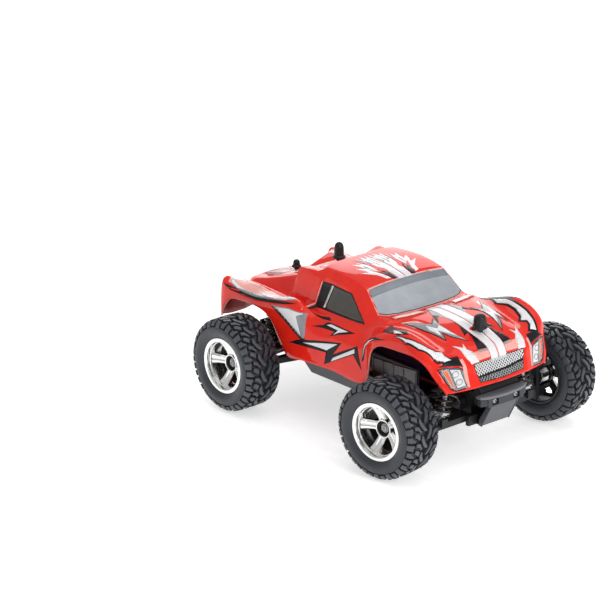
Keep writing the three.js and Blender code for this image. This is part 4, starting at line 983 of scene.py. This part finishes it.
def add_grille(lay):
    """A dark backing with wires that are bright above and dull below."""
    lay(BLACK, FRONT, GRILLE, lift=0.5, both=False)
    upper = ((-18, 28.5), (18, 28.5), (16.6, 23.6), (6, 22.4), (-6, 22), (-16.4, 21.6))
    lower = ((-16.3, 21.4), (-6, 21.7), (6, 22.1), (16.4, 23.2), (15.2, 18.7), (0, 18.3), (-15.2, 18.7))
    for material, outline, half_width in ((WIRE, upper, 0.26), (WIRE_DARK, lower, 0.22)):
        for wire in grille_wires(grown(outline, -0.1), half_width):
            lay(material, FRONT, wire, lift=3, both=False, step=2)


def add_headlights(lay):
    """A clear lamp with two round reflectors, and an orange marker with a white edge."""
    lay(BLACK, CHEEK, grown(HEADLIGHT, 0.3), lift=0.8)
    lay(GREY, CHEEK, grown(HEADLIGHT, -0.2), lift=1.2)
    lamp = ((-17.3, 28.3), (-23.3, 27.5), (-26.6, 18.9), (-21.5, 18.1))
    marker = ((-12.9, 28.3), (-16.7, 28.2), (-20.9, 18.3), (-18.7, 18.9))
    lay(BLACK, CHEEK, lamp, marker, lift=1.6)
    lay(LENS, CHEEK, grown(lamp, -0.3), lift=2.4)
    lay(WHITE, CHEEK, grown(marker, -0.2), lift=2.4)
    lay(ORANGE, CHEEK, grown(marker, -0.45), lift=3.2)
    for u, v, half_u, half_v in ((-20.6, 25.3, 1.9, 1.7), (-22.6, 21.3, 1.9, 1.6)):
        lay(LENS_SHADE, CHEEK, ellipse(u, v, half_u, half_v), lift=3.2)
        lay(LENS, CHEEK, ellipse(u, v, half_u - 0.4, half_v - 0.4), lift=4)


def add_shell():
    """The painted shell with its graphics; its inside and its cut edges have their own colours."""
    surface = outer_shell()
    films = Films(surface)
    for add in (add_bonnet_films, add_fender_films, add_roof_films, add_side_films,
                add_rear_films, add_glass_films, add_grille, add_headlights):
        add(films.lay)
    films.finish()
    cut_post_holes(surface)
    shell = place_mesh("shell", in_metres("shell", surface), [PAINT, PAINT_INSIDE, PAINT_EDGE],
                       "body", 50, MIDDLE)
    wall = thicken(shell, SHELL_WALL)
    wall.use_even_offset = True
    wall.material_offset = 1
    wall.material_offset_rim = 2
    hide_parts("body_shell")


# ---------- bumper and wheel arch panels, in mid-wheelbase millimetres ----------
SKID = ((75.3, -7.0), (77.3, -7.2), (84.2, 5.8), (82.4, 6.6), (76.4, -4.9), (75.3, -4.9))
SKID_SIDE = ((75.3, -7.3), (77.5, -7.5), (84.5, 5.8), (82.4, 7), (75.3, -4.4))
SKID_HALF = 9.3
SKID_SIDE_WALL = 0.6
LIP = ((86.1, 0), (85.7, 8), (84.3, 14), (82.6, 16.4), (79.4, 16.4), (79.4, -16.4), (82.6, -16.4),
       (84.3, -14), (85.7, -8))
POCKET_Y = (-12.6, -9.6, -5.2, 5.2, 9.6, 12.6)
POCKET_Z = (5.4, 6.2, 9.4, 10.2)
BLOCK_X = (80.2, 84.6)
POCKET_DEPTH = 1.5
WING_Z = (6.2, 9.6)
LIP_Z = (9.9, 11.4)
SCREW_AT = (7.4, 7.8)
SCREW = ((0, 0), (1.35, 0), (1.35, 0.5), (1.1, 0.85), (0.65, 0.95), (0.6, 0.4), (0, 0.4))
# Name, half width, rounding of the edges and outline of each guard.
GUARDS = (
    ("nose_guard", 13, 0.5, ((74.6, 4.6), (79.6, 5.4), (79.6, 12.4), (77.4, 15.6), (74.6, 15.6))),
    ("rear_guard", 19, 0.4, (
        (-78, -7), (-83, -4.6), (-84.4, 8), (-82.8, 8.6), (-81, -2.6), (-78, -4.4))),
)
PANEL = ((12.5, -4.6), (45.4, -5.4), (45.4, 16.8), (30, 15.8), (12.5, 15.2))
PANEL_Y = (24.3, 24.9)
RIB_Y = (24.8, 25.6)
RIBS_X = (13, 20.5, 28, 35.5, 44.4)


def sideways(u, v, w):
    """Outline drawn forward and up, extruded across the car."""
    return u, w, v


def pocketed_block(bm, depths, ys, zs, pockets, depth):
    """A block whose front has square pockets in the named cells of a grid."""
    back, front = depths
    grid = [[bm.verts.new((front, y, z)) for z in zs] for y in ys]
    for i in range(len(ys) - 1):
        for j in range(len(zs) - 1):
            ring = [grid[i][j], grid[i + 1][j], grid[i + 1][j + 1], grid[i][j + 1]]
            if (i, j) not in pockets:
                bm.faces.new(ring)
                continue
            floor = [bm.verts.new(v.co - Vector((depth, 0, 0))) for v in ring]
            bm.faces.new(floor)
            for a in range(4):
                b = (a + 1) % 4
                bm.faces.new((ring[a], ring[b], floor[b], floor[a]))
    edge = [row[0] for row in grid] + grid[-1][1:] + [row[-1] for row in reversed(grid[:-1])]
    edge += reversed(grid[0][1:-1])
    far = [bm.verts.new((back, v.co.y, v.co.z)) for v in edge]
    bm.faces.new(far)
    for a in range(len(edge)):
        b = (a + 1) % len(edge)
        bm.faces.new((edge[a], edge[b], far[b], far[a]))


def add_plastic(name, bm, material, edge, segments=2):
    """A bevelled plastic piece fixed to the chassis."""
    return bevel(piece(name, bm, material, "chassis", 30, MIDDLE), edge, segments)


def add_bumper():
    """Slanted skid plate, a block with two pockets, their screws and a curved lip over them."""
    bm = bmesh.new()
    prism(bm, SKID, -SKID_HALF, SKID_HALF, sideways)
    for y in (-SKID_HALF - SKID_SIDE_WALL, SKID_HALF):
        prism(bm, SKID_SIDE, y, y + SKID_SIDE_WALL, sideways)
    skid = add_plastic("bumper_skid", bm, SKID_PLASTIC, 0.25)
    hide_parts("front_bumper")
    bm = bmesh.new()
    pocketed_block(bm, BLOCK_X, POCKET_Y, POCKET_Z, ((1, 1), (3, 1)), POCKET_DEPTH)
    for side in (1, -1):
        wing = [(81.4, 12.4 * side), (84.2, 12.4 * side), (82.6, 16 * side), (80.2, 16 * side)]
        prism(bm, wing, *WING_Z)
    add_plastic("bumper_block", bm, GREY_PLASTIC, 0.2)
    bm = bmesh.new()
    prism(bm, LIP, *LIP_Z)
    # The lip is a paler grey than the block below it: painted light falling from above.
    add_plastic("bumper_lip", bm, LIP_LIT_PLASTIC, 0.45, 3)
    forward = Matrix.Rotation(-math.pi / 2, 4, "Z")
    for side, sign in SIDES.items():
        bm = bmesh.new()
        lathe(bm, SCREW, 24)
        head = world((BLOCK_X[1] - POCKET_DEPTH, SCREW_AT[0] * sign, SCREW_AT[1]))
        piece(f"bumper_screw_{side}", bm, STEEL, "chassis", 30, head, forward)


def add_guards():
    """Dark guards under the nose and behind the rear gearbox."""
    for name, half, edge, outline in GUARDS:
        bm = bmesh.new()
        prism(bm, outline, -half, half, sideways)
        add_plastic(name, bm, BLACK_PLASTIC, edge)


def add_arch_panels():
    """Ribbed panels on the tub's sides, seen through the front wheel arches."""
    for side, sign in SIDES.items():
        bm = bmesh.new()
        prism(bm, PANEL, *sorted(y * sign for y in PANEL_Y), sideways)
        across = sorted(y * sign for y in RIB_Y)
        for x in RIBS_X:
            prism(bm, [(x, -4.4), (x + 0.9, -4.4), (x + 0.9, 15.4), (x, 15.2)], *across, sideways)
        prism(bm, [(13, 7.2), (45.2, 7.2), (45.2, 8), (13, 8)], *across, sideways)
        add_plastic(f"arch_panel_{side}", bm, PANEL_GREY, 0.15)


# ---------- body post caps ----------
FLUTES = 12
FLUTE_DEPTH = 0.05          # as a share of the radius
# Name, radius and radius of the flange.
CAPS = (("front_post_cap", 3.3, 3.9), ("mid_post_cap", 2.6, 3.5), ("rear_post_cap", 1.9, 2.6))


def add_cap(name, radius, flange):
    """A domed cap with shallow flutes over a flange."""
    low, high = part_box(name)
    height = (high.z - low.z) / MM

    def fluted(angle, r, h):
        wall = r > radius * 0.9 and h > 1.5
        return r * (1 - FLUTE_DEPTH) if wall and math.cos(FLUTES * angle) > 0.2 else r

    bm = bmesh.new()
    dome = [(radius * r, height * h) for r, h in (
        (1, 0.45), (0.97, 0.68), (0.84, 0.84), (0.58, 0.94), (0.28, 0.99), (0, 1))]
    lathe(bm, [(0, 0.3), (flange - 0.3, 0), (flange, 0.3), (flange, 0.9), (flange - 0.4, 1.2),
               (radius, 1.6)] + dome, 72, shape=fluted)
    turn = Matrix.Rotation(math.pi / 2, 4, "X")
    place = ((low.x + high.x) / 2, 0, low.z)
    cap = piece(f"{name}_dome", bm, BLACK_PLASTIC, "body", 40, place, turn)
    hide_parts(name)


# ---------- springs ----------
COIL_TURNS = 8
COIL_STEPS = 24             # points in a turn
COIL_RADIUS = 3.85
WIRE_RADIUS = 0.6
COIL_START = 3.6            # below the shock's upper pin
COIL_CLOSING = 0.035        # how much closer the coils stand at both ends


def add_spring(corner):
    """A coil round the shock that stretches between the shock's body and its rod."""
    top = Vector(JOINTS[f"shock_pivot_{corner}"]["pos_m"])
    axis = Vector(JOINTS[f"shock_slide_{corner}"]["axis"]).normalized()
    low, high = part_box(f"spring_{corner}")
    along = [(Vector((top.x, y, z)) - top).dot(axis) for y in (low.y, high.y) for z in (low.z, high.z)]
    start, finish = COIL_START * MM, max(along) - WIRE_RADIUS * MM
    across = Vector((1, 0, 0))
    out = axis.cross(across)
    count = COIL_TURNS * COIL_STEPS
    path = []
    for k in range(count + 1):
        t = k / count
        reach = start + (finish - start) * (t - COIL_CLOSING * math.sin(2 * math.pi * t))
        angle = 2 * math.pi * COIL_TURNS * t
        round_axis = across * math.cos(angle) + out * math.sin(angle)
        path.append((top + axis * reach) / MM + COIL_RADIUS * round_axis)
    bm = bmesh.new()
    sweep(bm, path, WIRE_RADIUS, 8)
    name = f"coil_{corner}"
    coil = show(name, finished(name, bm), [SPRING_WIRE], 180)
    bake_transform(coil)
    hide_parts(f"spring_{corner}")


# ---------- drive shafts ----------
def add_drive_shaft(corner):
    """A thin shaft with a ball at each end; the inner ball stays clear of its cup at full travel."""
    low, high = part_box(f"drive_shaft_{corner}")
    sign = 1 if high.y > 0 else -1
    outer = max(abs(low.y), abs(high.y)) / MM
    bm = bmesh.new()
    lathe(bm, [(0, 8.7), (0.7, 8.8), (1.1, 9.3), (1.2, 9.8), (1.1, 10.3), (0.8, 10.7), (0.75, 12),
               (0.75, outer - 3.4), (1.1, outer - 2.4), (1.3, outer - 1.4), (1.1, outer - 0.5),
               (0, outer - 0.1)], 20, closed=False)
    bmesh.ops.scale(bm, vec=(1, sign, 1), verts=bm.verts)
    place = ((low.x + high.x) / 2, 0, (low.z + high.z) / 2)
    shaft = piece(f"dogbone_{corner}", bm, NUT_STEEL, f"drive_shaft_{corner}_body", 30, place)
    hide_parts(f"drive_shaft_{corner}")


# ---------- the CAD pieces that keep their shape ----------
LOOK_OF = {
    "chassis_tub": GREY_PLASTIC, "front_bumper": GREY_PLASTIC, "battery_door": GREY_PLASTIC,
    "steering_rack": NYLON, "circuit_board": BOARD, "battery": WRAP, "motor": STEEL,
    "motor_pinion": COPPER, "centre_shaft": STEEL, "front_differential": STEEL,
    "rear_differential": STEEL,
}
CAD_EDGE, GEAR_EDGE = 0.22, 0.08
CAD_EDGE_ANGLE = 32
WELD_GAP = 0.002


def dress_cad_nodes():
    """Gives the CAD pieces that are shown their material and eased edges."""
    for name, node in frame["nodes"].items():
        if node.hide_render:
            continue
        look = LOOK_OF.get(name)
        if look is None:
            metal = name.startswith(("stub_axle", "shock_rod"))
            look = STEEL if metal else BLACK_PLASTIC
        node.data.materials.clear()
        node.data.materials.append(look)
        weld = node.modifiers.new("weld", "WELD")
        weld.merge_threshold = WELD_GAP * MM
        edge = GEAR_EDGE if name.endswith("differential") else CAD_EDGE
        bevel(node, edge, angle=CAD_EDGE_ANGLE)


# ---------- floor, lights and camera ----------
CAMERA_AT = (875.9, -823.9, 458.9)
CAMERA_AZIMUTH = 49.02
CAMERA_ELEVATION = 19.34
CAMERA_LENS = 146.9
SENSOR_WIDTH = 36
WORLD_STRENGTH = 0.55
# Name, place (m), width, height (m) and power (W).
SOFTBOXES = (
    ("overhead", (0.1, 0.1, 0.9), 0.9, 0.9, 2.0),
    ("key", (1.0, 0.0, 0.5), 0.5, 0.5, 3.6),
    ("back", (-0.88, 0.76, 0.46), 1.2, 0.7, 5.5),
)
LIGHT_AIM = (0, 0, 0.03)
FLOOR_GLOW = 0.55
FLOOR_HALF = 40
FLOOR_DROP = 0.0002         # below the tyres, so that nothing lies in the floor's plane


def add_camera():
    """A long lens in front of the car, to its right and above it."""
    data = bpy.data.cameras.new("camera")
    data.lens = CAMERA_LENS
    data.sensor_width = SENSOR_WIDTH
    data.clip_end = 1.5 * FLOOR_HALF
    camera = linked("camera", data)
    azimuth, elevation = math.radians(CAMERA_AZIMUTH), math.radians(CAMERA_ELEVATION)
    back = Vector((math.sin(azimuth) * math.cos(elevation), -math.cos(azimuth) * math.cos(elevation),
                   math.sin(elevation)))
    camera.location = world(CAMERA_AT)
    camera.rotation_mode = "QUATERNION"
    camera.rotation_quaternion = (-back).to_track_quat("-Z", "Y")
    bpy.context.scene.camera = camera


def add_softbox(name, place, width, height, power):
    """A rectangular light aimed at the car."""
    data = bpy.data.lights.new(name, "AREA")
    data.shape = "RECTANGLE"
    data.size, data.size_y, data.energy = width, height, power
    light = linked(name, data)
    light.location = place
    light.rotation_mode = "QUATERNION"
    light.rotation_quaternion = (Vector(LIGHT_AIM) - Vector(place)).to_track_quat("-Z", "Y")


def add_studio():
    """White floor and surroundings, and the lights."""
    bm = bmesh.new()
    bmesh.ops.create_grid(bm, x_segments=1, y_segments=1, size=FLOOR_HALF)
    mesh = bpy.data.meshes.new("floor")
    bm.to_mesh(mesh)
    bm.free()
    mesh.materials.append(shader("floor", (0.90, 0.90, 0.90), 0.8, grain=0.02, grain_size=3.0,
                                 Emission_Color=(1, 1, 1, 1), Emission_Strength=FLOOR_GLOW))
    floor = linked("floor", mesh)
    floor.location.z = -FLOOR_DROP
    scene_world = bpy.data.worlds.new("studio")
    scene_world.use_nodes = True
    scene_world.node_tree.nodes["Background"].inputs["Color"].default_value = (1, 1, 1, 1)
    scene_world.node_tree.nodes["Background"].inputs["Strength"].default_value = WORLD_STRENGTH
    bpy.context.scene.world = scene_world
    bpy.context.scene.view_settings.view_transform = "Standard"
    for name, place, width, height, power in SOFTBOXES:
        add_softbox(name, place, width, height, power)


add_camera()
add_studio()
add_wheels()
add_shell()
add_bumper()
add_guards()
add_arch_panels()
for cap_sizes in CAPS:
    add_cap(*cap_sizes)
for corner_name in CORNERS:
    add_spring(corner_name)
    add_drive_shaft(corner_name)
dress_cad_nodes()
